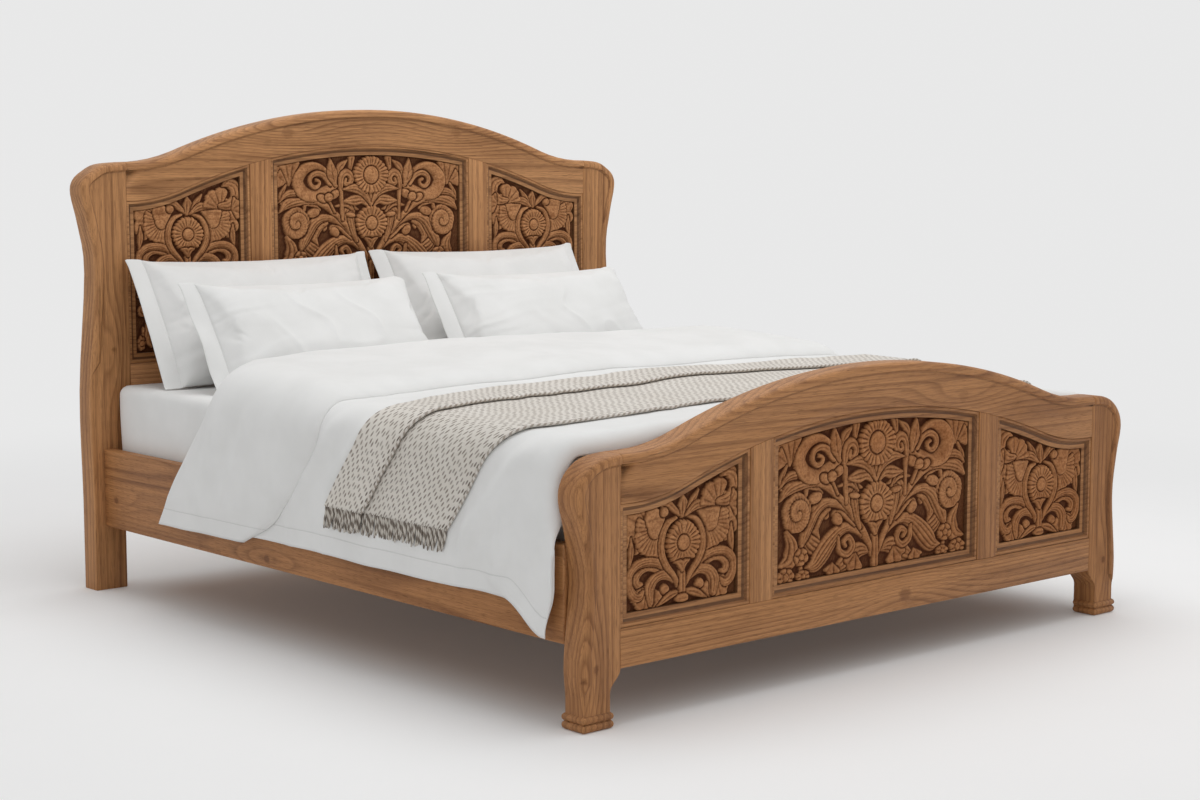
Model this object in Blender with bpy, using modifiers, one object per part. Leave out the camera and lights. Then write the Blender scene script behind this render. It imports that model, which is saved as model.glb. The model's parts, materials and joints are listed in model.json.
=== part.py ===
"""A carved double bed: two panelled boards with arched crests, side rails on hook plates, slats, and the bedding.

Metres, +Z up, +Y towards the headboard, the origin on the floor under the middle of the bed.
"""

import math

import bmesh
import bpy
import numpy as np
from mathutils import Matrix

# Overall sizes
INNER_LENGTH = 1.990
POST_DEPTH = 0.075
SEAT_GAP = 0.0003

# Headboard outline
HEAD_APEX = 1.357
LEG_HALF_SPAN = 0.970
HEAD_LEG_WIDTH = 0.097
HEAD_POST_WIDTH = 0.123
HEAD_LEVEL_RUN = 0.007
HEAD_BULGE_OUT = 0.016
HEAD_BULGE_DROP = 0.088
HEAD_WAIST_IN = 0.021
HEAD_WAIST_DROP = 0.310
HEAD_CALF_OUT = 0.003
HEAD_CALF_DROP = 0.640
HEAD_RAIL_LOW = 0.420
HEAD_RAIL_HIGH = 0.635

# Footboard outline
FOOT_APEX = 0.733
FOOT_STEP_IN = 0.022
FOOT_LEG_WIDTH = 0.083
FOOT_POST_WIDTH = 0.113
FOOT_LEVEL_RUN = 0.035
FOOT_BULGE_OUT = 0.013
FOOT_BULGE_DROP = 0.096
FOOT_WAIST_IN = 0.017
FOOT_WAIST_DROP = 0.275
FOOT_CALF_IN = 0.002
FOOT_CALF_DROP = 0.440
FOOT_RAIL_LOW = 0.126
FOOT_RAIL_HIGH = 0.213

# What the two boards share
CROWN_RADIUS = 1.85
COVE_RADIUS = 0.50
CREST_WIDTH = 0.109
SHOULDER_FALL = 0.012
EDGE_ROUND = 0.013
RIM_WIDTH = 0.028
FIELD_RECESS = 0.007
HEAD_RIM_END = 0.54
HEAD_RIM_FADE = 0.11
FOOT_RIM_END = 0.042
FOOT_RIM_FADE = 0.070
STILE_INNER = 0.368
STILE_WIDTH = 0.073
FRAME_THICKNESS = 0.048
TENON_LENGTH = 0.030
TENON_THICKNESS = 0.022
ANKLE_RISE = 0.045

# Banded feet of the footboard
LOW_BAND_HEIGHT = 0.020
HIGH_BAND_HEIGHT = 0.018
BAND_PROUD = 0.0055
ANKLE_TAPER = 0.0065

# Carved panels
PANEL_SINK = 0.002
PANEL_THICKNESS = 0.034
COVE_BORDER = 0.018
COVE_DEPTH = 0.010
BEAD_BORDER = 0.010
GROUND_DEPTH = 0.022
TONGUE_REACH = 0.009
TONGUE_THICKNESS = 0.010

# Side rails, ledgers, slats and the middle support
RAIL_STEP_IN = 0.010
RAIL_THICKNESS = 0.034
RAIL_LOW = 0.182
RAIL_HIGH = 0.400
LEDGER_WIDTH = 0.024
LEDGER_HEIGHT = 0.030
SLAT_SEAT = 0.310
SLAT_THICKNESS = 0.020
SLAT_WIDTH = 0.070
SLAT_COUNT = 13
CROSS_RAIL_THICKNESS = 0.028
CROSS_RAIL_HEIGHT = 0.080
BEAM_WIDTH = 0.050
BEAM_HEIGHT = 0.080
HANGER_THICKNESS = 0.003
HANGER_REACH = 0.045
LEG_SIDE = 0.048
LEG_OFFSET = 0.330
LEG_TENON = 0.020
LEVEL_PAD_RADIUS = 0.020
LEVEL_PAD_HEIGHT = 0.012
LEVEL_STEM_RADIUS = 0.005
LEVEL_STEM_LENGTH = 0.045
LEVEL_TRAVEL = 0.015

# Hook plates and the slotted plates that take them
PLATE_THICKNESS = 0.003
PLATE_WIDTH = 0.015
PLATE_HEIGHT = 0.130
HOOK_REACH = 0.012
HOOK_LIP = 0.010
HOOK_NECK = 0.022
HOOK_WIDTH = 0.005
HOOK_SPACING = 0.070

# Bedding
MATTRESS_SIDE_GAP = 0.004
MATTRESS_END_GAP = 0.010
MATTRESS_TOP = 0.580
MATTRESS_ROUND = 0.035
BACK_PILLOW_WIDTH = 0.838
FRONT_PILLOW_WIDTH = 0.800
BACK_PILLOW_HEIGHT = 0.412
FRONT_PILLOW_HEIGHT = 0.365
PILLOW_THICKNESS = 0.155
PILLOW_SIDE_DRAW = 0.045
BACK_PILLOW_TILT = 60.0
FRONT_PILLOW_TILT = 56.0
BACK_PILLOW_SETBACK = 0.135
FRONT_PILLOW_SETBACK = 0.361
PILLOW_PITCH = 0.833
PILLOW_SHIFT = -0.044
DUVET_TOP_THICKNESS = 0.044
DUVET_SIDE_THICKNESS = 0.017
DUVET_ROUND = 0.075
DUVET_HEM = 0.258
DUVET_CORNER_HEM = 0.200
DUVET_FOLD_SETBACK = 0.595
DUVET_BAND = 0.550
DUVET_SWING = 0.300
BAND_TO_THROW = 0.050
THROW_WIDTH = 0.560
THROW_THICKNESS = 0.009
THROW_HEM = 0.345
LAYER_GAP = 0.002

# Planes worked out from the sizes above
HALF_LENGTH = INNER_LENGTH / 2
FOOT_LEG = LEG_HALF_SPAN - FOOT_STEP_IN
RAIL_FACE = FOOT_LEG - RAIL_STEP_IN
RAIL_INNER = RAIL_FACE - RAIL_THICKNESS
FOLD_Y = HALF_LENGTH - DUVET_FOLD_SETBACK
THROW_HIGH_Y = FOLD_Y - DUVET_BAND - BAND_TO_THROW
THROW_LOW_Y = THROW_HIGH_Y - THROW_WIDTH


def clear_scene():
    """Take away every object the session starts with."""
    for thing in list(bpy.data.objects):
        bpy.data.objects.remove(thing, do_unlink=True)


def new_collection(name):
    """A collection linked into the scene."""
    made = bpy.data.collections.new(name)
    bpy.context.scene.collection.children.link(made)
    return made


def new_material(name, colour, roughness, metallic=0.0):
    """A plain Principled material."""
    made = bpy.data.materials.new(name)
    made.use_nodes = True
    shader = made.node_tree.nodes["Principled BSDF"]
    shader.inputs["Base Color"].default_value = (*colour, 1.0)
    shader.inputs["Roughness"].default_value = roughness
    shader.inputs["Metallic"].default_value = metallic
    made.diffuse_color = (*colour, 1.0)
    return made


clear_scene()
BED = new_collection("carved_bed")
CUTTERS = new_collection("cutters")
CUTTERS.hide_render = True
WOOD = new_material("carved_wood", (0.30, 0.15, 0.08), 0.45)
SLAT_WOOD = new_material("slat_wood", (0.62, 0.46, 0.28), 0.6)
STEEL = new_material("steel", (0.55, 0.55, 0.57), 0.35, 1.0)
TICKING = new_material("mattress_cover", (0.86, 0.85, 0.82), 0.9)
LINEN = new_material("white_linen", (0.88, 0.89, 0.90), 0.9)
KNIT = new_material("beige_knit", (0.66, 0.58, 0.47), 0.95)


def keep(thing, material):
    """Put a finished piece in the bed's collection with its own copy of the material."""
    BED.objects.link(thing)
    own = material.copy()
    own.name = thing.name + "_" + material.name
    thing.data.materials.clear()
    thing.data.materials.append(own)
    return thing


def as_cutter(thing):
    """Put a helper among the cutters, out of the render."""
    CUTTERS.objects.link(thing)
    thing.hide_render = True
    thing.display_type = "WIRE"
    return thing


def boolean(thing, other, operation):
    """Cut or join one mesh with another."""
    made = thing.modifiers.new(operation.lower() + "_" + other.name, "BOOLEAN")
    made.operation = operation
    made.solver = "EXACT"
    made.use_self = True
    made.object = other


def cut(thing, *others):
    """Cut each helper from the piece."""
    for other in others:
        boolean(thing, other, "DIFFERENCE")


def join(thing, *others):
    """Join each helper to the piece."""
    for other in others:
        boolean(thing, other, "UNION")


def from_bmesh(name, work):
    """An object, not yet in any collection, from a bmesh."""
    bmesh.ops.recalc_face_normals(work, faces=work.faces[:])
    mesh = bpy.data.meshes.new(name)
    work.to_mesh(mesh)
    work.free()
    return bpy.data.objects.new(name, mesh)


def block(name, low, high, round_by=0.0, segments=1, upright=True):
    """A box between two corners, its edges rounded, the upright ones only where asked."""
    work = bmesh.new()
    bmesh.ops.create_cube(work, size=1.0)
    low = np.array(low)
    high = np.array(high)
    sides = high - low
    bmesh.ops.transform(work, matrix=Matrix.Diagonal((*sides, 1.0)), verts=work.verts[:])
    bmesh.ops.translate(work, vec=tuple((low + high) / 2), verts=work.verts[:])
    if round_by:
        chosen = [edge for edge in work.edges if upright or abs(edge.verts[0].co.z - edge.verts[1].co.z) < 1e-6]
        bmesh.ops.bevel(work, geom=chosen, offset=round_by, segments=segments, profile=0.5,
                        affect="EDGES", clamp_overlap=True)
    return from_bmesh(name, work)


def round_bar(name, radius, low, high, place, sides=20):
    """An upright cylinder between two heights."""
    work = bmesh.new()
    bmesh.ops.create_cone(work, cap_ends=True, segments=sides, radius1=radius, radius2=radius, depth=high - low)
    bmesh.ops.translate(work, vec=(place[0], place[1], (low + high) / 2), verts=work.verts[:])
    return from_bmesh(name, work)


def prism(name, outline, front, back, cove=0.0, rounded=None, round_by=0.0):
    """A flat outline in X and Z carried from front to back along Y.

    A cove widens the body by that much away from its back face, in a quarter round. Edges of the two faces
    that the test called rounded takes are rounded.
    """
    curve = bpy.data.curves.new(name + "_outline", "CURVE")
    curve.dimensions = "2D"
    curve.fill_mode = "BOTH"
    curve.extrude = (back - front) / 2 - cove
    curve.bevel_depth = cove
    curve.bevel_resolution = 1
    spline = curve.splines.new("POLY")
    spline.points.add(len(outline) - 1)
    for point, (x, z) in zip(spline.points, outline):
        point.co = (x, z, 0.0, 1.0)
    spline.use_cyclic_u = True
    guide = bpy.data.objects.new(name + "_outline", curve)
    bpy.context.scene.collection.objects.link(guide)
    guide.rotation_euler = (math.pi / 2, 0.0, 0.0)
    guide.location = (0.0, (front + back) / 2, 0.0)
    bpy.context.view_layer.update()
    graph = bpy.context.evaluated_depsgraph_get()
    mesh = bpy.data.meshes.new_from_object(guide.evaluated_get(graph))
    work = bmesh.new()
    work.from_mesh(mesh)
    bmesh.ops.transform(work, matrix=guide.matrix_world, verts=work.verts[:])
    bpy.data.objects.remove(guide, do_unlink=True)
    bmesh.ops.remove_doubles(work, verts=work.verts[:], dist=0.00005)
    bmesh.ops.dissolve_limit(work, angle_limit=0.002, verts=work.verts[:], edges=work.edges[:])
    if rounded:
        chosen = [edge for edge in work.edges if is_rim(edge, front, back) and all(rounded(*v.co) for v in edge.verts)]
        bmesh.ops.bevel(work, geom=chosen, offset=round_by, segments=3, profile=0.5, affect="EDGES",
                        clamp_overlap=True)
    return from_bmesh(name, work)


def is_rim(edge, front, back):
    """Whether an edge lies in the front or the back face of a prism."""
    ys = [v.co.y for v in edge.verts]
    return any(all(abs(y - plane) < 1e-5 for y in ys) for plane in (front, back))


def smooth_through(points, steps):
    """A rounded path through points, as Catmull-Rom pieces. The first and last points only steer it."""
    points = np.array(points, float)
    t = np.linspace(0.0, 1.0, steps, endpoint=False)[:, None]
    pieces = []
    for a, b, c, d in zip(points, points[1:], points[2:], points[3:]):
        pieces.append(0.5 * (2 * b + (c - a) * t + (2 * a - 5 * b + 4 * c - d) * t**2 + (3 * b - a - 3 * c + d) * t**3))
    pieces.append(points[-2:-1])
    return np.concatenate(pieces)


def s_curve(t):
    """A smooth step from 0 to 1."""
    t = np.clip(t, 0.0, 1.0)
    return t * t * (3 - 2 * t)


class Board:
    """The outline and planes of one end board. Its carved side faces -Y."""

    def __init__(self, name, apex, leg, post_width, level_run, bulge, waist, calf, rail, field, back, foot_front):
        self.name = name
        self.apex = apex
        self.leg, self.leg_width = leg
        self.inner = self.leg - post_width
        self.level_from = self.inner - level_run
        self.bulge = bulge
        self.waist = waist
        self.calf = calf
        self.rail_low, self.rail_high = rail
        self.field = field
        self.rim = field - FIELD_RECESS
        self.back = back
        self.foot_front = foot_front
        self.taper = 0.0 if foot_front is None else ANKLE_TAPER
        self.rim_end = (HEAD_RIM_END, HEAD_RIM_FADE) if foot_front is None else (FOOT_RIM_END, FOOT_RIM_FADE)

    def crest_top(self, x):
        """Height of the crest's top edge: a crown arc that runs into a hollow one, then level."""
        x = np.minimum(np.abs(x), self.level_from)
        turn = self.level_from / (CROWN_RADIUS + COVE_RADIUS)
        meet = CROWN_RADIUS * turn
        level = (CROWN_RADIUS + COVE_RADIUS) * (1 - math.sqrt(1 - turn * turn))
        crown = CROWN_RADIUS - np.sqrt(CROWN_RADIUS**2 - np.minimum(x, meet) ** 2)
        hollow = level - COVE_RADIUS + np.sqrt(COVE_RADIUS**2 - np.clip(self.level_from - x, 0, COVE_RADIUS) ** 2)
        return self.apex - np.where(x < meet, crown, hollow)

    def crest_low(self, x):
        """Height of the crest's lower edge, which is the top of the panel openings."""
        return self.crest_top(x) - CREST_WIDTH

    def half_contour(self):
        """The right half of the outer edge, from the middle of the crest to the floor."""
        xs = np.linspace(0.0, self.inner, 15)
        crest = np.stack([xs, self.crest_top(xs)], axis=1)
        top = float(self.crest_top(self.inner))
        leg = self.leg
        path = [crest[-2], crest[-1]]
        path.append((leg - 0.058, top - 0.5 * SHOULDER_FALL))
        path.append((leg - 0.022, top - 1.9 * SHOULDER_FALL))
        path.append((leg + self.bulge[0] - 0.008, top - 0.55 * self.bulge[1]))
        path.append((leg + self.bulge[0], top - self.bulge[1]))
        path.append((leg + 0.45 * self.bulge[0] - 0.55 * self.waist[0], top - self.bulge[1] - 0.4 * self.span()))
        path.append((leg - self.waist[0], top - self.waist[1]))
        path.append((leg + self.calf[0], top - self.calf[1]))
        path.append((leg - self.taper, 0.45 * (top - self.calf[1])))
        path.append((leg - self.taper, 0.0))
        return np.concatenate([crest[:-1], smooth_through(path, 4), path[-1:]])

    def span(self):
        """Height from the bulge to the waist."""
        return self.waist[1] - self.bulge[1]

    def field_outline(self):
        """The outline of the sunk field inside the raised rim, which thins out down the posts."""
        half = self.half_contour()
        along = np.gradient(half, axis=0)
        along /= np.linalg.norm(along, axis=1, keepdims=True)
        inward = np.stack([along[:, 1], -along[:, 0]], axis=1)
        low = -0.03
        fade = s_curve((half[:, 1] - self.rim_end[0]) / self.rim_end[1])
        depth = RIM_WIDTH * fade - 0.03 * (1 - fade)
        right = half + inward * depth[:, None]
        right = right[right[:, 1] > low + 0.004]
        right = np.concatenate([right, [[right[-1, 0], low]]])
        left = right[::-1] * (-1, 1)
        return np.concatenate([right, left[:-1]])

    def post_outline(self, side):
        """The outline of one post: outer edge down, inner edge up."""
        half = self.half_contour()
        outer = half[half[:, 0] >= self.inner - 1e-6]
        ankle = self.leg - self.leg_width
        t = np.linspace(0.0, 1.0, 6)
        high = self.rail_low - 0.002
        rise = np.stack([ankle + (self.inner - ankle) * s_curve(t), high - ANKLE_RISE * (1 - t)], axis=1)
        outline = np.concatenate([outer, [[ankle, 0.0]], rise])
        if self.foot_front is not None:
            outline[:, 1] = np.maximum(outline[:, 1], 0.3 * LOW_BAND_HEIGHT)
        return outline * (side, 1)

    def opening(self, low_x, high_x, grow):
        """The outline of a panel opening, grown by some amount on every side."""
        xs = np.linspace(high_x + grow, low_x - grow, 19)
        top = np.stack([xs, self.crest_low(xs) + grow], axis=1)
        floor = self.rail_high - grow
        return np.concatenate([[[low_x - grow, floor], [high_x + grow, floor]], top])

    def bays(self):
        """Name and width range of each panel opening."""
        outer = STILE_INNER + STILE_WIDTH
        return {
            "left": (-self.inner, -outer),
            "centre": (-STILE_INNER, STILE_INNER),
            "right": (outer, self.inner),
        }


def build_board(board):
    """Posts, rails, stiles and panels of one end board. Returns the two posts by side."""
    name = board.name
    mid = board.field + FRAME_THICKNESS / 2
    low_y = mid - TENON_THICKNESS / 2
    high_y = mid + TENON_THICKNESS / 2
    g = SEAT_GAP

    sunk = as_cutter(prism(name + "_field_cutter", board.field_outline(), board.rim - 0.05, board.field,
                           cove=FIELD_RECESS))
    tongue_low = board.field + PANEL_SINK + PANEL_THICKNESS - 0.002 - TONGUE_THICKNESS
    tongue_high = tongue_low + TONGUE_THICKNESS
    grooves = {}
    for bay, (low_x, high_x) in board.bays().items():
        outline = board.opening(low_x, high_x, TONGUE_REACH + 2 * g)
        grooves[bay] = as_cutter(prism(f"{name}_{bay}_groove_cutter", outline, tongue_low - g, tongue_high + g))

    end_x = board.inner - g
    xs = np.linspace(-end_x, end_x, 49)
    crest_outline = np.concatenate([
        np.stack([xs, board.crest_top(xs)], axis=1),
        np.stack([xs, board.crest_low(xs)], axis=1)[::-1],
    ])
    crest = prism(name + "_crest_rail", crest_outline, board.rim, board.back,
                  rounded=lambda x, y, z: z > board.crest_low(x) + 0.5 * CREST_WIDTH, round_by=EDGE_ROUND)
    top_at_post = float(board.crest_top(board.inner))
    crest_span = (top_at_post - 0.75 * CREST_WIDTH, top_at_post - 0.30 * CREST_WIDTH)

    rail = block(name + "_bottom_rail", (-end_x, board.field, board.rail_low),
                 (end_x, board.field + FRAME_THICKNESS, board.rail_high))
    rail_span = (board.rail_low + 0.012, board.rail_high - 0.022)

    cut(crest, sunk)
    for bay in grooves.values():
        cut(crest, bay)
        cut(rail, bay)
    posts = {}
    for word, side in (("left", -1), ("right", 1)):
        post = prism(f"{name}_post_{word}", board.post_outline(side), board.rim, board.back,
                     rounded=lambda x, y, z: outside(board, x, z), round_by=EDGE_ROUND)
        cut(post, sunk, grooves[word])
        if board.foot_front is not None:
            add_bands(post, board, side)
        for piece, span in ((crest, crest_span), (rail, rail_span)):
            reach = sorted((side * (end_x - 0.02), side * (end_x + TENON_LENGTH)))
            hole = sorted((side * (end_x - 0.02), side * (end_x + TENON_LENGTH + 2 * g)))
            label = f"{piece.name}_tenon_{word}"
            join(piece, as_cutter(block(label, (reach[0], low_y, span[0]), (reach[1], high_y, span[1]))))
            cut(post, as_cutter(block(label + "_mortise", (hole[0], low_y - g, span[0] - g),
                                      (hole[1], high_y + g, span[1] + g))))
        posts[word] = keep(post, WOOD)
        add_stile(board, word, side, crest, rail, (low_y, high_y), grooves)
    keep(crest, WOOD)
    keep(rail, WOOD)
    for bay, (low_x, high_x) in board.bays().items():
        add_panel(board, bay, low_x, high_x, tongue_low, tongue_high)
    return posts


def outside(board, x, z):
    """Whether a point of a post lies on the outer edge that is rounded."""
    ankle = board.leg - board.leg_width
    return abs(x) > ankle + 0.02 or z > board.crest_low(board.inner)


def add_bands(post, board, side):
    """The two rounded bands round the bottom of a footboard post."""
    inner = board.leg - board.leg_width
    edges = sorted((side * inner, side * (board.leg - board.taper)))
    low = 0.0
    proud = BAND_PROUD
    for number, height in enumerate((LOW_BAND_HEIGHT, HIGH_BAND_HEIGHT)):
        corner_low = (edges[0] - proud, board.field - proud, low)
        corner_high = (edges[1] + proud, board.back - 0.25 * proud, low + height)
        band = block(f"{post.name}_band_{number}", corner_low, corner_high, 0.44 * height, 3, upright=False)
        join(post, as_cutter(band))
        low += 0.93 * height


def add_stile(board, word, side, crest, rail, tenon, grooves):
    """One stile, tenoned into the crest and the bottom rail."""
    g = SEAT_GAP
    edges = sorted((side * STILE_INNER, side * (STILE_INNER + STILE_WIDTH)))
    xs = np.linspace(edges[1], edges[0], 9)
    outline = np.concatenate([
        [[edges[0], board.rail_high + g], [edges[1], board.rail_high + g]],
        np.stack([xs, board.crest_low(xs) - g], axis=1),
    ])
    stile = prism(f"{board.name}_stile_{word}", outline, board.field, board.field + FRAME_THICKNESS)
    middle = (edges[0] + edges[1]) / 2
    half = 0.3 * STILE_WIDTH
    top = float(board.crest_low(middle))
    for label, piece, low, high in (
        ("low", rail, board.rail_high - TENON_LENGTH, board.rail_high + 0.02),
        ("high", crest, top - 0.03, top + TENON_LENGTH),
    ):
        deep = 2 * g
        bar = block(f"{stile.name}_tenon_{label}", (middle - half, tenon[0], low), (middle + half, tenon[1], high))
        hole = block(f"{stile.name}_mortise_{label}", (middle - half - g, tenon[0] - g, low - deep),
                     (middle + half + g, tenon[1] + g, high + deep))
        join(stile, as_cutter(bar))
        cut(piece, as_cutter(hole))
    cut(stile, grooves[word], grooves["centre"])
    keep(stile, WOOD)


def add_panel(board, bay, low_x, high_x, tongue_low, tongue_high):
    """One carved panel: tongue, coved border, bead and the sunk ground."""
    front = board.field + PANEL_SINK
    label = f"{board.name}_panel_{bay}"
    panel = prism(label, board.opening(low_x, high_x, -2 * SEAT_GAP), front, front + PANEL_THICKNESS)
    tongue = prism(label + "_tongue", board.opening(low_x, high_x, TONGUE_REACH), tongue_low, tongue_high)
    cove = prism(label + "_cove_cutter", board.opening(low_x, high_x, -COVE_BORDER), front - 0.06,
                 front + COVE_DEPTH, cove=COVE_DEPTH)
    ground = prism(label + "_ground_cutter", board.opening(low_x, high_x, -COVE_BORDER - BEAD_BORDER), front - 0.02,
                   front + GROUND_DEPTH)
    join(panel, as_cutter(tongue))
    cut(panel, as_cutter(cove), as_cutter(ground))
    keep(panel, WOOD)


def build_side(word, side, head_post, foot_post):
    """A side rail with its ledger and the hook plates at both ends."""
    g = SEAT_GAP
    half = HALF_LENGTH
    inner = RAIL_INNER
    xs = sorted((side * inner, side * RAIL_FACE))
    rail = block(f"side_rail_{word}", (xs[0], -half + g, RAIL_LOW), (xs[1], half - g, RAIL_HIGH), 0.004, 2)
    middle_z = (RAIL_LOW + RAIL_HIGH) / 2
    plate_x = side * (inner + 0.003 + PLATE_WIDTH / 2)
    for end, post, way in (("head", head_post, 1), ("foot", foot_post, -1)):
        add_hooks(f"{end}_{word}", rail, post, plate_x, way * half, way, middle_z)
    keep(rail, WOOD)
    stop = half - CROSS_RAIL_THICKNESS - 2 * g
    xs = sorted((side * (inner - g), side * (inner - LEDGER_WIDTH)))
    keep(block(f"slat_ledger_{word}", (xs[0], -stop, SLAT_SEAT - LEDGER_HEIGHT), (xs[1], stop, SLAT_SEAT), 0.002),
         SLAT_WOOD)


def add_hooks(label, rail, post, x, face, way, z):
    """A hook plate let into a rail end, and the slotted plate in the post that it drops into."""
    g = SEAT_GAP
    t = PLATE_THICKNESS
    wide = PLATE_WIDTH / 2
    tall = PLATE_HEIGHT / 2

    def along(start, stop):
        """A Y range given as distances past the post's face, into the post."""
        return sorted((face + way * start, face + way * stop))

    def box(name, half_x, ys, zs):
        return block(name, (x - half_x, ys[0], z + zs[0]), (x + half_x, ys[1], z + zs[1]))

    plate = box(f"hook_plate_{label}", wide, along(-2 * g - t, -2 * g), (-tall, tall))
    pocket = box(f"rail_pocket_{label}", wide + g, along(-3 * g - t, 0.02), (-tall - g, tall + g))
    cut(rail, as_cutter(pocket))
    slotted = box(f"slot_plate_{label}", wide, along(g, g + t), (-tall, tall))
    seat = box(f"post_seat_{label}", wide + g, along(-0.02, 2 * g + t), (-tall - g, tall + g))
    cut(post, as_cutter(seat))
    inner_reach = HOOK_REACH + t
    for number, dz in enumerate((-HOOK_SPACING / 2, HOOK_SPACING / 2)):
        neck = box(f"hook_neck_{label}_{number}", HOOK_WIDTH / 2, along(-2 * g - 0.5 * t, inner_reach),
                   (dz, dz + HOOK_NECK))
        lip = box(f"hook_lip_{label}_{number}", HOOK_WIDTH / 2, along(t + 4 * g, inner_reach),
                  (dz - HOOK_LIP, dz + 0.5 * HOOK_NECK))
        join(plate, as_cutter(neck), as_cutter(lip))
        slot = box(f"slot_cutter_{label}_{number}", HOOK_WIDTH / 2 + 2 * g, along(-0.02, 0.02),
                   (dz - g, dz + HOOK_NECK + HOOK_LIP + 2 * g))
        cut(slotted, as_cutter(slot))
        well = box(f"post_well_{label}_{number}", HOOK_WIDTH / 2 + 2 * g, along(-0.02, inner_reach + 0.002),
                   (dz - HOOK_LIP - 0.002, dz + HOOK_NECK + HOOK_LIP + 0.002))
        cut(post, as_cutter(well))
    keep(plate, STEEL)
    keep(slotted, STEEL)


def build_support():
    """Cross rails, centre beam with hangers and legs, and the slats."""
    g = SEAT_GAP
    half = HALF_LENGTH
    inner = RAIL_INNER
    top = SLAT_SEAT
    for word, way in (("head", 1), ("foot", -1)):
        ys = sorted((way * (half - g), way * (half - CROSS_RAIL_THICKNESS)))
        keep(block(f"cross_rail_{word}", (-inner + g, ys[0], top - CROSS_RAIL_HEIGHT), (inner - g, ys[1], top), 0.002),
             SLAT_WOOD)
    stop = half - CROSS_RAIL_THICKNESS - HANGER_THICKNESS - 2 * g
    low = top - BEAM_HEIGHT
    beam = block("centre_beam", (-BEAM_WIDTH / 2, -stop, low), (BEAM_WIDTH / 2, stop, top), 0.002)
    for word, way in (("head", 1), ("foot", -1)):
        add_hanger(word, way, half - CROSS_RAIL_THICKNESS - g, low)
        add_leg(word, way * LEG_OFFSET, beam, low)
    keep(beam, SLAT_WOOD)
    first = half - CROSS_RAIL_THICKNESS - SLAT_WIDTH / 2
    for number, y in enumerate(np.linspace(-first, first, SLAT_COUNT), start=1):
        keep(block(f"slat_{number:02d}", (-inner + 0.002, y - SLAT_WIDTH / 2, top + g),
                   (inner - 0.002, y + SLAT_WIDTH / 2, top + g + SLAT_THICKNESS), 0.002), SLAT_WOOD)


def add_hanger(word, way, face, low):
    """A steel shoe on the cross rail that carries one end of the beam."""
    g = SEAT_GAP
    t = HANGER_THICKNESS
    wide = BEAM_WIDTH / 2 + g + t
    ys = sorted((way * face, way * (face - HANGER_REACH)))
    shoe = block(f"beam_hanger_{word}", (-wide, ys[0], low - g - t), (wide, ys[1], SLAT_SEAT - 0.012))
    ys = sorted((way * (face - t), way * (face - HANGER_REACH - 0.02)))
    cut(shoe, as_cutter(block(f"hanger_cutter_{word}", (-BEAM_WIDTH / 2 - g, ys[0], low - g),
                              (BEAM_WIDTH / 2 + g, ys[1], SLAT_SEAT + 0.05))))
    keep(shoe, STEEL)


def add_leg(word, y, beam, low):
    """A centre leg tenoned into the beam, bored for its levelling foot."""
    g = SEAT_GAP
    half = LEG_SIDE / 2
    inside = 0.3 * LEG_SIDE
    foot = LEVEL_PAD_HEIGHT + g
    leg = block(f"centre_leg_{word}", (-half, y - half, foot), (half, y + half, low - g), 0.002)
    join(leg, as_cutter(block(f"leg_tenon_{word}", (-inside, y - inside, low - 0.02), (inside, y + inside, low + LEG_TENON))))
    cut(beam, as_cutter(block(f"leg_mortise_{word}", (-inside - g, y - inside - g, low - 0.02),
                              (inside + g, y + inside + g, low + LEG_TENON + 2 * g))))
    stem_top = LEVEL_PAD_HEIGHT + LEVEL_STEM_LENGTH
    cut(leg, as_cutter(round_bar(f"leg_bore_{word}", LEVEL_STEM_RADIUS + 2 * g, -0.02, stem_top + 0.004, (0.0, y))))
    keep(leg, WOOD)
    pad = round_bar(f"levelling_foot_{word}", LEVEL_PAD_RADIUS, 0.0, LEVEL_PAD_HEIGHT, (0.0, 0.0))
    pad.location = (0.0, y, 0.0)
    join(pad, as_cutter(round_bar(f"level_stem_{word}", LEVEL_STEM_RADIUS, 0.5 * LEVEL_PAD_HEIGHT, stem_top, (0.0, y))))
    keep(pad, STEEL)


def build_mattress():
    """The mattress on the slats."""
    low = SLAT_SEAT + SLAT_THICKNESS + 2 * SEAT_GAP
    half = HALF_LENGTH - MATTRESS_END_GAP
    wide = RAIL_INNER - MATTRESS_SIDE_GAP
    keep(block("mattress", (-wide, -half, low), (wide, half, MATTRESS_TOP), MATTRESS_ROUND, 3), TICKING)


def pillow(name, middle_x, width, height, setback, tilt):
    """A crowned pillow with drawn-in sides, leaning back by its tilt in degrees from flat."""
    work = bmesh.new()
    bmesh.ops.create_uvsphere(work, u_segments=24, v_segments=8, radius=1.0)
    lean = math.radians(tilt)
    for vert in work.verts:
        x, y, z = vert.co
        r = min(1.0, math.hypot(x, y))
        angle = math.atan2(y, x)
        c = math.cos(angle)
        s = math.sin(angle)
        square = 1.0 / (abs(c) ** 6 + abs(s) ** 6) ** (1 / 6)
        drawn = 1.0 - PILLOW_SIDE_DRAW * math.cos(2 * angle) ** 2
        u = r * square * drawn * c * width / 2
        v = r * square * drawn * s * height / 2
        w = math.copysign(max(0.0, 1 - r**2.6) ** 0.62, z) * PILLOW_THICKNESS / 2
        vert.co = (middle_x + u, v * math.cos(lean) + w * math.sin(lean), v * math.sin(lean) - w * math.cos(lean))
    lowest = min(vert.co.z for vert in work.verts)
    shift = (0.0, HALF_LENGTH - setback, MATTRESS_TOP + SEAT_GAP - lowest)
    bmesh.ops.translate(work, vec=shift, verts=work.verts[:])
    keep(from_bmesh(name, work), LINEN)


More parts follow.
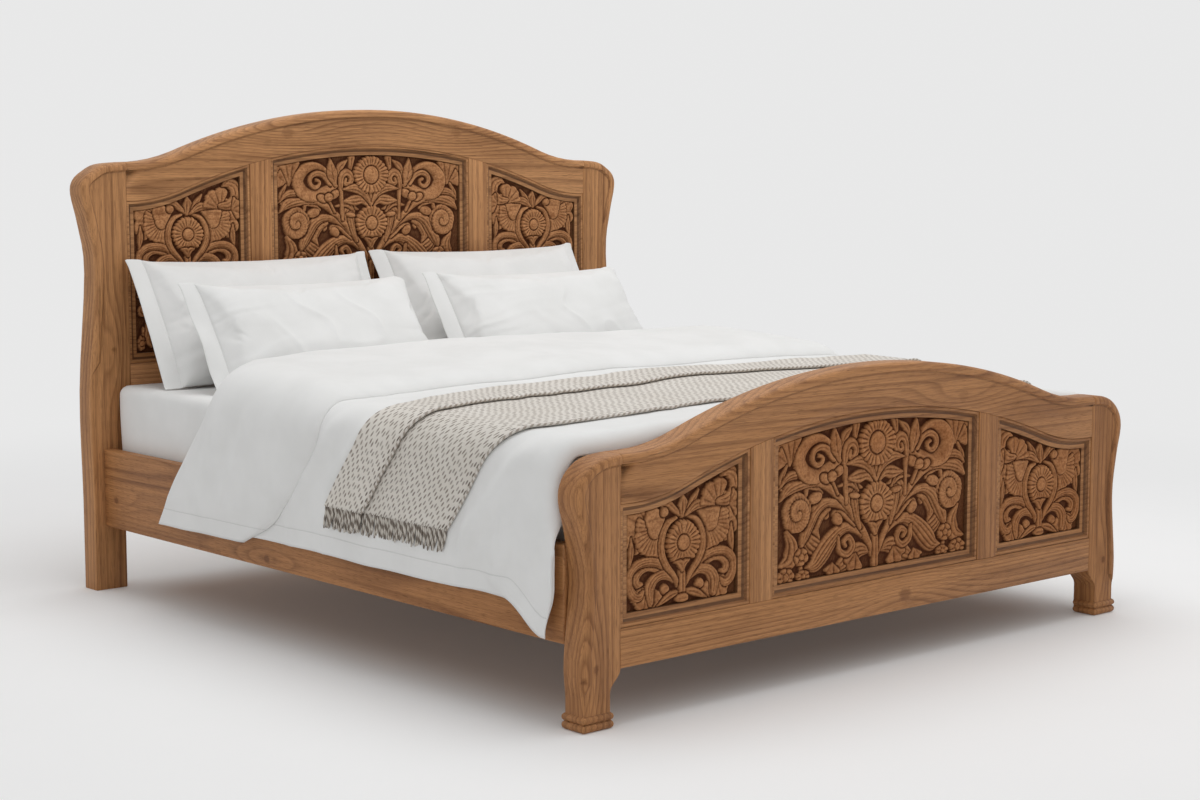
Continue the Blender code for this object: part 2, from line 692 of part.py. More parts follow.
def build_pillows():
    """Two pillows against the headboard and two leaning on them."""
    rows = {
        "back": (BACK_PILLOW_WIDTH, BACK_PILLOW_HEIGHT, BACK_PILLOW_SETBACK, BACK_PILLOW_TILT),
        "front": (FRONT_PILLOW_WIDTH, FRONT_PILLOW_HEIGHT, FRONT_PILLOW_SETBACK, FRONT_PILLOW_TILT),
    }
    for row, sizes in rows.items():
        for word, side in (("left", -1), ("right", 1)):
            pillow(f"pillow_{row}_{word}", PILLOW_SHIFT + side * PILLOW_PITCH / 2, *sizes)


class Drape:
    """The section of cloth over the mattress: flat on top, rounded over the edge, hanging past the side rail."""

    TURNS = np.radians((0.0, 30.0, 60.0, 90.0))
    FALLS = np.array((0.3, 0.65, 1.0))

    def __init__(self):
        self.top = MATTRESS_TOP + SEAT_GAP + DUVET_TOP_THICKNESS
        self.side = RAIL_FACE + 2 * SEAT_GAP + DUVET_SIDE_THICKNESS

    def section(self, offset, hem, flare=0.0):
        """X and Z of each column from left to right, and how far down the side each one hangs."""
        radius = DUVET_ROUND + offset
        turn_x = self.side - DUVET_ROUND
        turn_z = self.top - DUVET_ROUND
        flat = turn_x * np.array((0.0, 0.31, 0.59, 0.84))
        x = np.concatenate([flat, turn_x + radius * np.sin(self.TURNS), np.full(3, self.side + offset)])
        x[-3:] += flare * self.FALLS
        z = np.concatenate([np.full(4, self.top + offset), turn_z + radius * np.cos(self.TURNS),
                            turn_z - self.FALLS * (turn_z - hem)])
        fall = np.concatenate([np.zeros(8), self.FALLS])
        x = np.concatenate([-x[:0:-1], x])
        return x, np.concatenate([z[:0:-1], z]), np.concatenate([fall[:0:-1], fall])


def sheet(name, rows, thickness, side_share):
    """A closed sheet from rows of points, thinner down its sides by the share given."""
    rows = np.array(rows)
    count, columns, _ = rows.shape
    work = bmesh.new()
    bmesh.ops.create_grid(work, x_segments=columns - 1, y_segments=count - 1, size=1.0)
    work.verts.ensure_lookup_table()
    for vert, place in zip(work.verts, rows.reshape(-1, 3)):
        vert.co = place
    mesh = bpy.data.meshes.new(name)
    work.to_mesh(mesh)
    work.free()
    made = bpy.data.objects.new(name, mesh)
    group = made.vertex_groups.new(name="full")
    side = np.tile(np.abs(np.arange(columns) - columns // 2) > 6, count)
    group.add([int(i) for i in np.flatnonzero(~side)], 1.0, "REPLACE")
    solid = made.modifiers.new("thickness", "SOLIDIFY")
    solid.thickness = thickness
    solid.offset = -1.0
    solid.use_even_offset = True
    solid.vertex_group = "full"
    solid.thickness_vertex_group = side_share
    return made


def build_duvet(drape):
    """The duvet, hung over both sides, its head end turned back in a band."""
    half = HALF_LENGTH
    inner_ys = np.linspace(FOLD_Y - DUVET_BAND, FOLD_Y, 6)
    throw_ys = np.linspace(THROW_LOW_Y, THROW_HIGH_Y, 4)
    end = -half + 0.012
    lower = np.concatenate([[end, (end + THROW_LOW_Y) / 2], throw_ys, inner_ys])
    rows = []
    for y in lower:
        corner = s_curve((THROW_LOW_Y - y) / (half - 0.012 + THROW_LOW_Y))
        hem = DUVET_HEM + (DUVET_CORNER_HEM - DUVET_HEM) * corner
        x, z, fall = drape.section(0.0, hem, 0.006 * corner)
        swing = DUVET_SWING * s_curve((y - THROW_HIGH_Y) / (FOLD_Y - THROW_HIGH_Y))
        rows.append(np.stack([x, y + swing * fall, z], axis=1))
    for turn in np.radians((45.0, 90.0, 135.0)):
        x, z, fall = drape.section(LAYER_GAP * (1 - math.cos(turn)) / 2, DUVET_HEM)
        rows.append(np.stack([x, FOLD_Y + LAYER_GAP * math.sin(turn) / 2 + DUVET_SWING * fall, z], axis=1))
    for y in inner_ys[::-1]:
        x, z, fall = drape.section(LAYER_GAP, DUVET_HEM)
        rows.append(np.stack([x, y + DUVET_SWING * fall, z], axis=1))
    share = DUVET_SIDE_THICKNESS / DUVET_TOP_THICKNESS
    keep(sheet("duvet", rows, DUVET_TOP_THICKNESS, share), LINEN)


def build_throw(drape):
    """The knitted throw across the bed, hanging at both sides."""
    rows = []
    for y in np.linspace(THROW_HIGH_Y, THROW_LOW_Y, 4):
        x, z, _ = drape.section(2 * SEAT_GAP, THROW_HEM)
        rows.append(np.stack([x, np.full(len(x), y), z], axis=1))
    keep(sheet("throw_blanket", rows, THROW_THICKNESS, 1.0), KNIT)


def build_bed():
    """The whole bed."""
    half = HALF_LENGTH
    head = Board("headboard", HEAD_APEX, (LEG_HALF_SPAN, HEAD_LEG_WIDTH), HEAD_POST_WIDTH, HEAD_LEVEL_RUN,
                 (HEAD_BULGE_OUT, HEAD_BULGE_DROP), (HEAD_WAIST_IN, HEAD_WAIST_DROP), (HEAD_CALF_OUT, HEAD_CALF_DROP),
                 (HEAD_RAIL_LOW, HEAD_RAIL_HIGH), half, half + POST_DEPTH, None)
    foot_field = -half - POST_DEPTH + FIELD_RECESS
    foot = Board("footboard", FOOT_APEX, (FOOT_LEG, FOOT_LEG_WIDTH), FOOT_POST_WIDTH, FOOT_LEVEL_RUN,
                 (FOOT_BULGE_OUT, FOOT_BULGE_DROP), (FOOT_WAIST_IN, FOOT_WAIST_DROP),
                 (-FOOT_CALF_IN, FOOT_CALF_DROP), (FOOT_RAIL_LOW, FOOT_RAIL_HIGH), foot_field, -half, -half - POST_DEPTH)
    head_posts = build_board(head)
    foot_posts = build_board(foot)
    for word, side in (("left", -1), ("right", 1)):
        build_side(word, side, head_posts[word], foot_posts[word])
    build_support()
    build_mattress()
    build_pillows()
    drape = Drape()
    build_duvet(drape)
    build_throw(drape)


build_bed()
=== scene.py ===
"""Carved wooden double bed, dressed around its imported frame.

Metres, +Z up, the headboard at +Y. Timber is a merged copy of the frame's own solids with eased edges,
the carving is a relief worked out on a grid, and the bedding is modelled as cloth. The carving's shapes
and the cloth's traced curves are listed in millimetres.
"""

from __future__ import annotations

import json
import logging
import math
from dataclasses import dataclass, field
from enum import Enum
from typing import Any, Callable, Sequence

import bmesh
import bpy
import numpy as np
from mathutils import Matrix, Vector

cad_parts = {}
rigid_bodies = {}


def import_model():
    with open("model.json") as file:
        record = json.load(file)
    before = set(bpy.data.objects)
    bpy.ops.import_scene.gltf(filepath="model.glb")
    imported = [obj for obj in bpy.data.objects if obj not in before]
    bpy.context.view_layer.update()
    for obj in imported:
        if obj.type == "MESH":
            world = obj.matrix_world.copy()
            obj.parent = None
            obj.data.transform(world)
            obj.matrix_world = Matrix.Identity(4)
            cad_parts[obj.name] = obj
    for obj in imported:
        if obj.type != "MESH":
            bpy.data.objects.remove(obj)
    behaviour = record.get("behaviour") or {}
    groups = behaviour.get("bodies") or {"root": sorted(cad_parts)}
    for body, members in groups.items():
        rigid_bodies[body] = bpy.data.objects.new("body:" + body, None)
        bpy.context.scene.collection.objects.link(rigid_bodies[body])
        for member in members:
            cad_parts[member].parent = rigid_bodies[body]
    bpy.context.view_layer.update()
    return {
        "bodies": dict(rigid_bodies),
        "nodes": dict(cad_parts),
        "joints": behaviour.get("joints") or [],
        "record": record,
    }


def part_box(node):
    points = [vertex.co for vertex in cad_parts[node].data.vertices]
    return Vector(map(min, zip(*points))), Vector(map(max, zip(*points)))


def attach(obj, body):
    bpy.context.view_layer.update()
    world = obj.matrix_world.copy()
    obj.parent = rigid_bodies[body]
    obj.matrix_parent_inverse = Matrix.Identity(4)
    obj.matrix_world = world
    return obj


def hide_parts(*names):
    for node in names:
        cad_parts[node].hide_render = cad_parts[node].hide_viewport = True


LOG = logging.getLogger("carved_bed")
Colour = tuple[float, float, float]
Array = np.ndarray
Piece = bpy.types.Object
Material = bpy.types.Material
BODY = "bed_frame"
MM = 1000.0
TURN = 6.283


def operator_of(operation: str, swapped: bool = False) -> Callable[..., "Sock"]:
    """Makes a method of Sock that adds one Math node.

    Args:
        operation: the Math node's operation.
        swapped: whether the socket comes last, as in a reflected operator.

    Returns:
        The method.
    """

    def method(self: "Sock", *others: Any) -> "Sock":
        """Adds the Math node on the socket and the other values."""
        values = (*others, self) if swapped else (self, *others)
        return self.shader.node("ShaderNodeMath", {"operation": operation}, dict(enumerate(values)))

    return method


class Sock:
    """A shader socket that takes part in arithmetic: every operator adds one Math node."""

    def __init__(self, shader: "Shader", socket: bpy.types.NodeSocket | None) -> None:
        """Keeps the shader that owns the socket, and the socket."""
        self.shader = shader
        self.socket = socket

    __add__, __radd__ = operator_of("ADD"), operator_of("ADD", True)
    __sub__, __rsub__ = operator_of("SUBTRACT"), operator_of("SUBTRACT", True)
    __mul__, __rmul__ = operator_of("MULTIPLY"), operator_of("MULTIPLY", True)
    __truediv__, __rtruediv__ = operator_of("DIVIDE"), operator_of("DIVIDE", True)
    __pow__ = operator_of("POWER")
    __abs__ = operator_of("ABSOLUTE")
    fract = operator_of("FRACT")
    floor = operator_of("FLOOR")
    sine = operator_of("SINE")
    root = operator_of("SQRT")
    most = operator_of("MAXIMUM")

    def rise(self, low: float, high: float) -> "Sock":
        """A smooth step: 0 at low, 1 at high; low may be the larger of the two."""
        settings = {"interpolation_type": "SMOOTHSTEP"}
        return self.shader.node("ShaderNodeMapRange", settings, {0: self, 1: low, 2: high, 3: 0.0, 4: 1.0})


class Shader:
    """One node tree while it is put together, in a material or in a world."""

    def __init__(self, name: str, kind: str = "materials") -> None:
        """Starts an empty tree in a new data block of that name and kind."""
        self.owner = getattr(bpy.data, kind).new(name)
        self.owner.use_nodes = True
        self.tree = self.owner.node_tree
        self.tree.nodes.clear()

    def node(self, kind: str, settings: dict | None = None, sockets: dict | None = None,
             out: int | str = 0) -> Sock:
        """Adds a node.

        Args:
            kind: the node's type.
            settings: its properties, set first; "stops" gives a colour ramp's places and colours.
            sockets: values or sockets for its inputs, by name or number.
            out: the output that is handed back, where the node has any.

        Returns:
            The chosen output.
        """
        made = self.tree.nodes.new(kind)
        for key, value in (settings or {}).items():
            if key == "stops":
                ramp = made.color_ramp.elements
                while len(ramp) < len(value):
                    ramp.new(0.5)
                for element, (place, colour) in zip(ramp, value):
                    element.position = place
                    element.color = (*colour, 1.0)
            else:
                setattr(made, key, value)
        for key, value in (sockets or {}).items():
            if isinstance(value, Sock):
                self.tree.links.new(value.socket, made.inputs[key])
            else:
                made.inputs[key].default_value = value
        return Sock(self, made.outputs[out] if made.outputs else None)

    def place(self) -> Sock:
        """Object coordinates, which are the bed's own metres."""
        return self.node("ShaderNodeTexCoord", out="Object")

    def vector(self, operation: str, a: Any, b: Any) -> Sock:
        """A Vector Math node on two vectors."""
        return self.node("ShaderNodeVectorMath", {"operation": operation}, {0: a, 1: b})

    def parts(self, vector: Sock) -> list[Sock]:
        """The three components of a vector."""
        split = self.node("ShaderNodeSeparateXYZ", None, {0: vector}).socket.node
        return [Sock(self, output) for output in split.outputs]

    def noise(self, vector: Sock, scale: float, detail: float = 2.0, rough: float = 0.5,
              out: int = 0) -> Sock:
        """Fractal noise, as a value (out 0) or a colour (out 1)."""
        sockets = {"Vector": vector, "Scale": scale, "Detail": detail, "Roughness": rough}
        return self.node("ShaderNodeTexNoise", None, sockets, out)

    def mix(self, factor: Any, a: Any, b: Any) -> Sock:
        """Colour a where the factor is 0 and colour b where it is 1."""
        colours = [(*c, 1.0) if isinstance(c, tuple) else c for c in (a, b)]
        return self.node("ShaderNodeMix", {"data_type": "RGBA"}, {0: factor, 6: colours[0], 7: colours[1]}, 2)

    def layers(self, shade: Sock, *layers: tuple[Any, Colour]) -> Sock:
        """Mixes colours over a shade one after another, each by its own factor."""
        for factor, colour in layers:
            shade = self.mix(factor, shade, colour)
        return shade

    def attribute(self, name: str) -> Sock:
        """A mesh attribute's value."""
        return self.node("ShaderNodeAttribute", {"attribute_name": name}, None, "Fac")

    def bump(self, height: Sock, distance: float, strength: float = 1.0) -> Sock:
        """A Bump node on a height in units of the distance."""
        sockets = {"Strength": strength, "Distance": distance, "Height": height}
        return self.node("ShaderNodeBump", None, sockets)

    def finish(self, **sockets: Any) -> Material:
        """Ends in a Principled surface.

        Args:
            sockets: the surface's inputs, with underscores for spaces.

        Returns:
            The finished material.
        """
        named = {key.replace("_", " "): value for key, value in sockets.items()}
        return self.end(self.node("ShaderNodeBsdfPrincipled", None, named))

    def end(self, surface: Sock, output: str = "ShaderNodeOutputMaterial") -> Any:
        """Links a surface to the tree's output, and hands back the tree's owner."""
        self.node(output, None, {0: surface})
        return self.owner


class Grain(Enum):
    """The axis along which a board's fibres run."""

    ACROSS = 0
    LENGTHWISE = 1
    UPRIGHT = 2


@dataclass(frozen=True)
class StainedWood:
    """Oiled brown hardwood sawn from a log: growth rings, fibres, pores, a few knots.

    Where a front is given, painted shade darkens the cove behind it, but not the bead, and the faces that
    turn to the left or downwards, and a little of the whole panel. Where a rim is given (its plane and the
    height of the board's middle), a line of painted shade lies along the rim's inner foot.

    An eye is a place, a size and the darkness of its knot: the rings bend round it, drawn out along the
    grain.

    The ring number at a point is its distance from the log's heart, bent by slow noise that is stretched
    along the grain, so that flat faces show arched figure and edges show straight lines.
    """

    name: str
    grain: Grain
    heart: tuple[float, float]
    carved: bool = False
    front: float | None = None
    rim: tuple[float, float] | None = None
    eyes: tuple[tuple[float, float, float, float, float], ...] = ()
    light: Colour = (0.640, 0.320, 0.132)
    body: Colour = (0.470, 0.212, 0.076)
    dark: Colour = (0.150, 0.050, 0.014)
    # Dark stain of the pores, also the colour of the painted shade in coves, rims and carved hollows
    stain_and_shade: Colour = (0.036, 0.010, 0.003)
    rings: float = 84.0
    ring_stops: tuple[tuple[float, float], ...] = ((0.0, 0.0), (0.45, 0.12), (0.86, 1.0), (1.0, 0.0))
    fibres: tuple[float, float] = (520.0, 5.0)
    streaks: tuple[float, float] = (150.0, 1.8)
    pores: tuple[float, float] = (1100.0, 34.0)
    stretch: float = 0.075
    knots: float = 2.2
    knot_stretch: float = 0.27
    drift: float = 0.13
    waver: float = 0.012
    eye_reach: float = 6.0
    eye_pull: float = 160.0

    def scaled(self, s: Shader, place: Sock, across: float, along: float) -> Sock:
        """A place scaled by one number across the grain and by another along it."""
        return s.vector("MULTIPLY", place,
                        [along if axis == self.grain.value else across for axis in range(3)])

    def growth(self, s: Shader, place: Sock, slow: Sock) -> tuple[Sock, Sock]:
        """The dark late wood of the rings and the knots, both from 0 to 1.

        Args:
            s: the material.
            place: the point.
            slow: the point, stretched along the grain.

        Returns:
            Late wood and knots.
        """
        axis = self.grain.value
        bent = slow
        for scale, detail, reach in ((4.2, 2.0, self.drift), (19.0, 1.0, self.waver)):
            wander = s.vector("SUBTRACT", s.noise(slow, scale, detail, 0.5, 1), (0.5, 0.5, 0.5))
            bent = s.vector("ADD", bent, s.vector("MULTIPLY", wander, (reach,) * 3))
        across = [part for number, part in enumerate(s.parts(bent)) if number != axis]
        radius = ((across[0] - self.heart[0]) ** 2 + (across[1] - self.heart[1]) ** 2).root()
        drawn = self.scaled(s, place, 1.0, self.knot_stretch)
        far = s.node("ShaderNodeTexVoronoi", None, {"Vector": drawn, "Scale": self.knots}, "Distance")
        swirl = far.rise(0.22, 0.0)
        swirl = swirl * swirl * 0.9
        knot = far.rise(0.030, 0.010)
        ragged = s.noise(place, 130.0, 2.0) * 0.9 + 0.55
        for *centre, size, dark in self.eyes:
            off = s.parts(self.scaled(s, s.vector("SUBTRACT", place, centre), 1.0, self.knot_stretch))
            square = off[0] * off[0] + off[1] * off[1] + off[2] * off[2]
            near = (square.root() / size).rise(self.eye_reach, 0.0)
            swirl = swirl + near * near * (self.eye_pull * size)
            core = (square + off[axis] * off[axis] * 6.0).root() / size * ragged
            knot = knot.most(core.rise(1.0, 0.40) * dark)
        stops = [(share, (grey,) * 3) for share, grey in self.ring_stops]
        late = s.node("ShaderNodeValToRGB", {"stops": stops}, {0: (radius * self.rings + swirl).fract()})
        return late, knot

    def painted_recess_shade(self, s: Shader, place: Sock, shade: Sock) -> Sock:
        """Paints shade in a panel's cove, on its faces turned left or down, and along a rim's inner foot."""
        if self.front is None and self.rim is None:
            return shade
        x, y, z = s.parts(place)
        facing = s.parts(s.node("ShaderNodeNewGeometry", out="Normal"))
        if self.front is not None:
            depth = y - self.front
            # painted shade: darker deeper in the cove, not on the bead
            line = depth.rise(0.0030, 0.0088) * depth.rise(0.0099, 0.0094) + depth.rise(0.0102, 0.0112)
            # painted shade on faces that turn to the left or downwards
            turned = (0.0 - facing[0]).most(0.0 - facing[2]).rise(0.20, 0.80)
            # the painted shade also lies a little over the whole panel
            shade = s.mix((0.10 + line * 0.62).most(turned * 0.46), shade, self.stain_and_shade)
        if self.rim is not None:
            plane, middle = self.rim
            # a painted shade line along the rim's inner foot
            inward = facing[2] * (middle - z) - facing[0] * x
            depth = y - plane
            line = depth.rise(0.0022, 0.0058) * depth.rise(0.00692, 0.0067) * inward.rise(0.02, 0.15)
            shade = s.mix(line * 0.30, shade, self.stain_and_shade)
        return shade

    def make(self) -> Material:
        """Builds the material."""
        s = Shader(self.name)
        calm = 0.45 if self.carved else 1.0
        place = s.place()
        slow = self.scaled(s, place, 1.0, self.stretch)
        late, knot = self.growth(s, place, slow)
        fibre = s.noise(self.scaled(s, place, *self.fibres), 1.0, 3.0, 0.62)
        streak = s.noise(self.scaled(s, place, *self.streaks), 1.0, 2.0, 0.55)
        pore = s.noise(self.scaled(s, place, *self.pores), 1.0, 0.0).rise(0.60, 0.72)
        tone = s.noise(slow, 2.6, 3.0, 0.55)
        band = s.noise(slow, 24.0, 2.0, 0.5)
        flecked = fibre.rise(0.36, 0.74) * (0.32 * calm) + band.rise(0.46, 0.74) * (0.26 * calm)
        lines = late * (0.24 + band.rise(0.25, 0.80) * 0.46) * calm
        shade = s.mix(tone.rise(0.30, 0.70), self.light, self.body)
        shade = s.layers(shade, (flecked, self.dark), (streak.rise(0.50, 0.72) * (0.36 * calm), self.dark),
                         (lines, self.dark), (pore * (0.36 * calm), self.stain_and_shade), (knot * 0.85, self.dark))
        height = fibre * 0.5 - pore * 0.6 - late * 0.25
        rough = 0.46 + fibre * 0.12 + pore * 0.1
        if self.carved:
            marks = s.noise(place, 170.0, 3.0, 0.70)
            gouge = s.noise(place, 62.0, 2.0, 0.6)
            # hollow: stain in the carving's recesses together with painted shade where the relief is low or
            # sunk
            hollow = s.attribute("hollow")
            shade = s.layers(shade, (marks.rise(0.42, 0.66) * 0.52, self.dark),
                             (gouge.rise(0.46, 0.70) * 0.42, self.dark), (hollow * 0.96, self.stain_and_shade),
                             (s.attribute("worn") * 0.35, self.light))
            height = height + marks * 4.0 + gouge * 9.0
            rough = rough + hollow * 0.2
        return s.finish(Base_Color=self.painted_recess_shade(s, place, shade), Roughness=rough,
                        Specular_IOR_Level=0.10 if self.carved else 0.30, Normal=s.bump(height, 0.0005, 0.55))


@dataclass(frozen=True)
class ZincSteel:
    """Bright zinc plate on the hooks, hangers and levelling feet: fine spangle and a few dull patches."""

    name: str = "zinc_plate"
    light: Colour = (0.62, 0.62, 0.60)
    dull: Colour = (0.42, 0.42, 0.41)

    def make(self) -> Material:
        """Builds the material."""
        s = Shader(self.name)
        place = s.place()
        patch = s.noise(place, 60.0, 3.0)
        grit = s.noise(place, 900.0, 2.0)
        shade = s.mix(patch.rise(0.35, 0.7), self.light, self.dull)
        return s.finish(Base_Color=shade, Metallic=1.0, Roughness=0.28 + patch * 0.22,
                        Normal=s.bump(grit, 0.0002, 0.3))


class Meshes:
    """Puts computed arrays into Blender objects."""

    @staticmethod
    def grid_faces(rows: int, columns: int) -> Array:
        """Quads of a grid whose points run row by row, wound so that row x column points up."""
        corner = (np.arange(rows - 1)[:, None] * columns + np.arange(columns - 1)[None, :]).ravel()
        return np.stack([corner, corner + 1, corner + columns + 1, corner + columns], axis=1)

    @staticmethod
    def link(name: str, data: Any) -> Piece:
        """Puts an object of that mesh, lamp or camera in the scene."""
        made = bpy.data.objects.new(name, data)
        bpy.context.scene.collection.objects.link(made)
        return made

    @staticmethod
    def build(name: str, points: Array, faces: Sequence, smooth: bool = True) -> Piece:
        """Makes a linked object at the origin.

        Args:
            name: the piece's name.
            points: its places, one row each.
            faces: rows of point numbers.
            smooth: whether its faces shade as one surface.

        Returns:
            The object.
        """
        mesh = bpy.data.meshes.new(name)
        mesh.from_pydata(np.asarray(points, float).tolist(), [], [list(map(int, f)) for f in faces])
        mesh.polygons.foreach_set("use_smooth", np.full(len(mesh.polygons), smooth))
        mesh.update()
        return Meshes.link(name, mesh)

    @staticmethod
    def merge(source: bpy.types.Mesh, target: bpy.types.Mesh, within: float) -> None:
        """Copies a mesh, with points merged that lie within a distance of each other."""
        work = bmesh.new()
        work.from_mesh(source)
        bmesh.ops.remove_doubles(work, verts=work.verts[:], dist=within)
        work.to_mesh(target)
        work.free()

    @staticmethod
    def give(piece: Piece, name: str, values: Array) -> None:
        """Stores one number per point under that attribute name."""
        held = piece.data.attributes.new(name, "FLOAT", "POINT")
        held.data.foreach_set("value", np.asarray(values, np.float32).ravel())

    @staticmethod
    def map(piece: Piece, name: str, uv: Array) -> None:
        """Stores one UV place per corner of the faces under that layer name."""
        layer = piece.data.uv_layers.new(name=name)
        layer.data.foreach_set("uv", np.asarray(uv, np.float32).ravel())

    @staticmethod
    def thicken(piece: Piece, name: str, thickness: float) -> bpy.types.SolidifyModifier:
        """Gives a sheet its thickness, half of it to each side."""
        solid = piece.modifiers.new(name, "SOLIDIFY")
        solid.thickness = thickness
        solid.offset = 0.0
        return solid

    @staticmethod
    def seat(piece: Piece, material: Material, slot: str, body: str = BODY) -> Piece:
        """Gives a piece its material and the body that it rides on."""
        piece.data.materials.clear()
        piece.data.materials.append(material)
        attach(piece, body)
        return piece


@dataclass
class Timber:
    """The wooden and steel solids of the frame, each copied, merged and eased at its edges."""

    nodes: dict[str, Piece]
    bodies: dict[str, list[str]]
    merge: float = 0.00002
    sharp_angle: float = math.radians(52.0)
    ease: float = 0.0012

    def body_of(self, node: str) -> str:
        """The body that holds a node."""
        return next(body for body, members in self.bodies.items() if node in members)

    def dress(self, node: str, material: Material, slot: str, ease: float | None = None) -> None:
        """Replaces a node by its own shape with merged points, eased edges and a finish.

        Args:
            node: the frame's node.
            material: what it is made of.
            slot: the record's material slot; it is not used.
            ease: width of the eased edge, where it isn't the usual one.
        """
        mesh = bpy.data.meshes.new(node + ".eased")
        Meshes.merge(self.nodes[node].data, mesh, self.merge)
        mesh.polygons.foreach_set("use_smooth", np.ones(len(mesh.polygons), bool))
        mesh.set_sharp_from_angle(angle=self.sharp_angle)
        piece = Meshes.link(node + ".eased", mesh)
        bevel = piece.modifiers.new("eased edges", "BEVEL")
        bevel.width = self.ease if ease is None else ease
        bevel.segments = 2
        bevel.limit_method = "ANGLE"
        bevel.angle_limit = self.sharp_angle
        bevel.harden_normals = True
        bevel.use_clamp_overlap = False
        Meshes.seat(piece, material, slot, self.body_of(node))
        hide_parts(node)


@dataclass
class Relief:
    """A carved relief as a height over a grid of places (u across, v up), kept in metres.

    Every shape is a height inside its outline. A later shape lies over the earlier ones, with a valley
    round it. Shapes are given in millimetres, and their angles in degrees.
    """

    u: Array
    v: Array
    height: Array = field(init=False)
    wall: float = 0.0042
    valley: float = 0.0075
    valley_slope: float = 1.35
    margin: float = 0.008
    thinnest: float = 0.0012
    flute: float = 0.0042
    vein: float = 0.0020
    midrib: float = 0.0030
    petal_groove: float = 0.0058
    disc_groove: float = 0.0048
    seed_grain: float = 0.0006
    rib_groove: float = 0.0034
    cleft: float = 0.0026
    spiral_groove: float = 0.0062
    fine_cut: float = 0.0022

    def __post_init__(self) -> None:
        """Starts from bare ground."""
        self.height = np.zeros_like(self.u)

    def near(self, low: Array, high: Array, reach: float) -> Array:
        """Which grid points lie in a box grown by the reach and a margin."""
        reach = reach + self.margin
        return ((self.u > low[0] - reach) & (self.u < high[0] + reach)
                & (self.v > low[1] - reach) & (self.v < high[1] + reach))

    def around(self, centre: Sequence, reach: float) -> tuple[Array, Array, Array]:
        """The grid points in reach of a place, and how far they lie from it across and up."""
        place = np.array(centre) / MM
        mask = self.near(place, place, reach / MM)
        return mask, self.u[mask] - place[0], self.v[mask] - place[1]

    @staticmethod
    def through(points: Array, samples: int = 56) -> Array:
        """A smooth line through a few points: a Catmull-Rom curve sampled evenly in its parameter."""
        p = np.concatenate([[2 * points[0] - points[1]], points, [2 * points[-1] - points[-2]]])
        where = np.linspace(0, len(p) - 3 - 1e-9, samples)
        i = where.astype(int)
        t = (where - i)[:, None]
        a, b, c, d = p[i], p[i + 1], p[i + 2], p[i + 3]
        square, cube = 2 * a - 5 * b + 4 * c - d, 3 * b - a - 3 * c + d
        return 0.5 * (2 * b + (c - a) * t + square * t**2 + cube * t**3)

    def along(self, line: Array, mask: Array) -> tuple[Array, Array]:
        """For the masked points, the share along the line and the signed distance to its nearest point."""
        point = np.stack([self.u[mask], self.v[mask]], axis=1)[:, None, :]
        start, step = line[:-1], np.diff(line, axis=0)
        length = np.maximum((step**2).sum(1), 1e-12)
        share = np.clip(((point - start) * step).sum(2) / length, 0, 1)
        gap = point - (start + share[..., None] * step)
        far = (gap**2).sum(2)
        best = far.argmin(1)
        row = np.arange(len(best))
        side = step[best, 0] * gap[row, best, 1] - step[best, 1] * gap[row, best, 0]
        return (best + share[row, best]) / len(step), np.copysign(np.sqrt(far[row, best]), side)

    @staticmethod
    def dome(r: Array) -> Array:
        """Half a ball: 1 in its middle, falling steeply to 0 where r is 1."""
        return np.sqrt(np.clip(1 - r**2, 0, 1))

    def raise_to(self, mask: Array, inside: Array, rise: Array, top: float) -> None:
        """Lays a new shape with a rounded wall over the relief and cuts a narrow valley round its outline.

        Args:
            mask: the grid points that it covers.
            inside: distance inside its outline, below 0 outside.
            rise: its height, apart from the wall.
            top: its usual height, which sets how low the valley goes.
        """
        wall = self.dome(1 - np.clip(inside / self.wall, 0, 1))
        valley = top - self.valley + self.valley_slope * np.clip(-inside, 0, None)
        under = np.minimum(self.height[mask], np.maximum(valley, 0.0))
        self.height[mask] = np.where(inside > 0, np.maximum(rise * wall, 0.0), under)

    def ribbon(self, points: Sequence, top: float, flutes: int = 0, tilt: float = 0.0,
               veins: int = 0) -> None:
        """A stem, leaf or scroll: a band along a smooth line, with its half width given at each point.

        Args:
            points: place and half width of each point.
            top: its height.
            flutes: how many hollows run along it.
            tilt: how much its left side, seen along the line, stands above its right side.
            veins: how many slanting cuts run out from its middle.
        """
        top = top / MM
        path = self.through(np.array(points, float) / MM)
        line, width = path[:, :2], np.maximum(path[:, 2], self.thinnest)
        mask = self.near(line.min(0), line.max(0), width.max())
        t, d = self.along(line, mask)
        half = np.interp(t, np.linspace(0, 1, len(width)), width)
        s = np.clip(d / half, -1, 1)
        rise = top * (0.84 + 0.34 * tilt * s - 0.36 * s * s)
        if flutes:
            cut = 1 - np.abs(np.sin(math.pi * (flutes + 1) * (s + 1) / 2))
            rise -= self.flute * cut**1.4 * (np.abs(s) < 0.93) * np.clip(half / 0.009, 0.30, 1)
        if veins:
            cut = 1 - np.abs(np.sin(math.pi * (veins * t - 0.9 * np.abs(s))))
            rise -= self.vein * cut**3 + self.midrib * np.exp(-((d / 0.0016) ** 2))
        self.raise_to(mask, half - np.abs(d), rise, top)

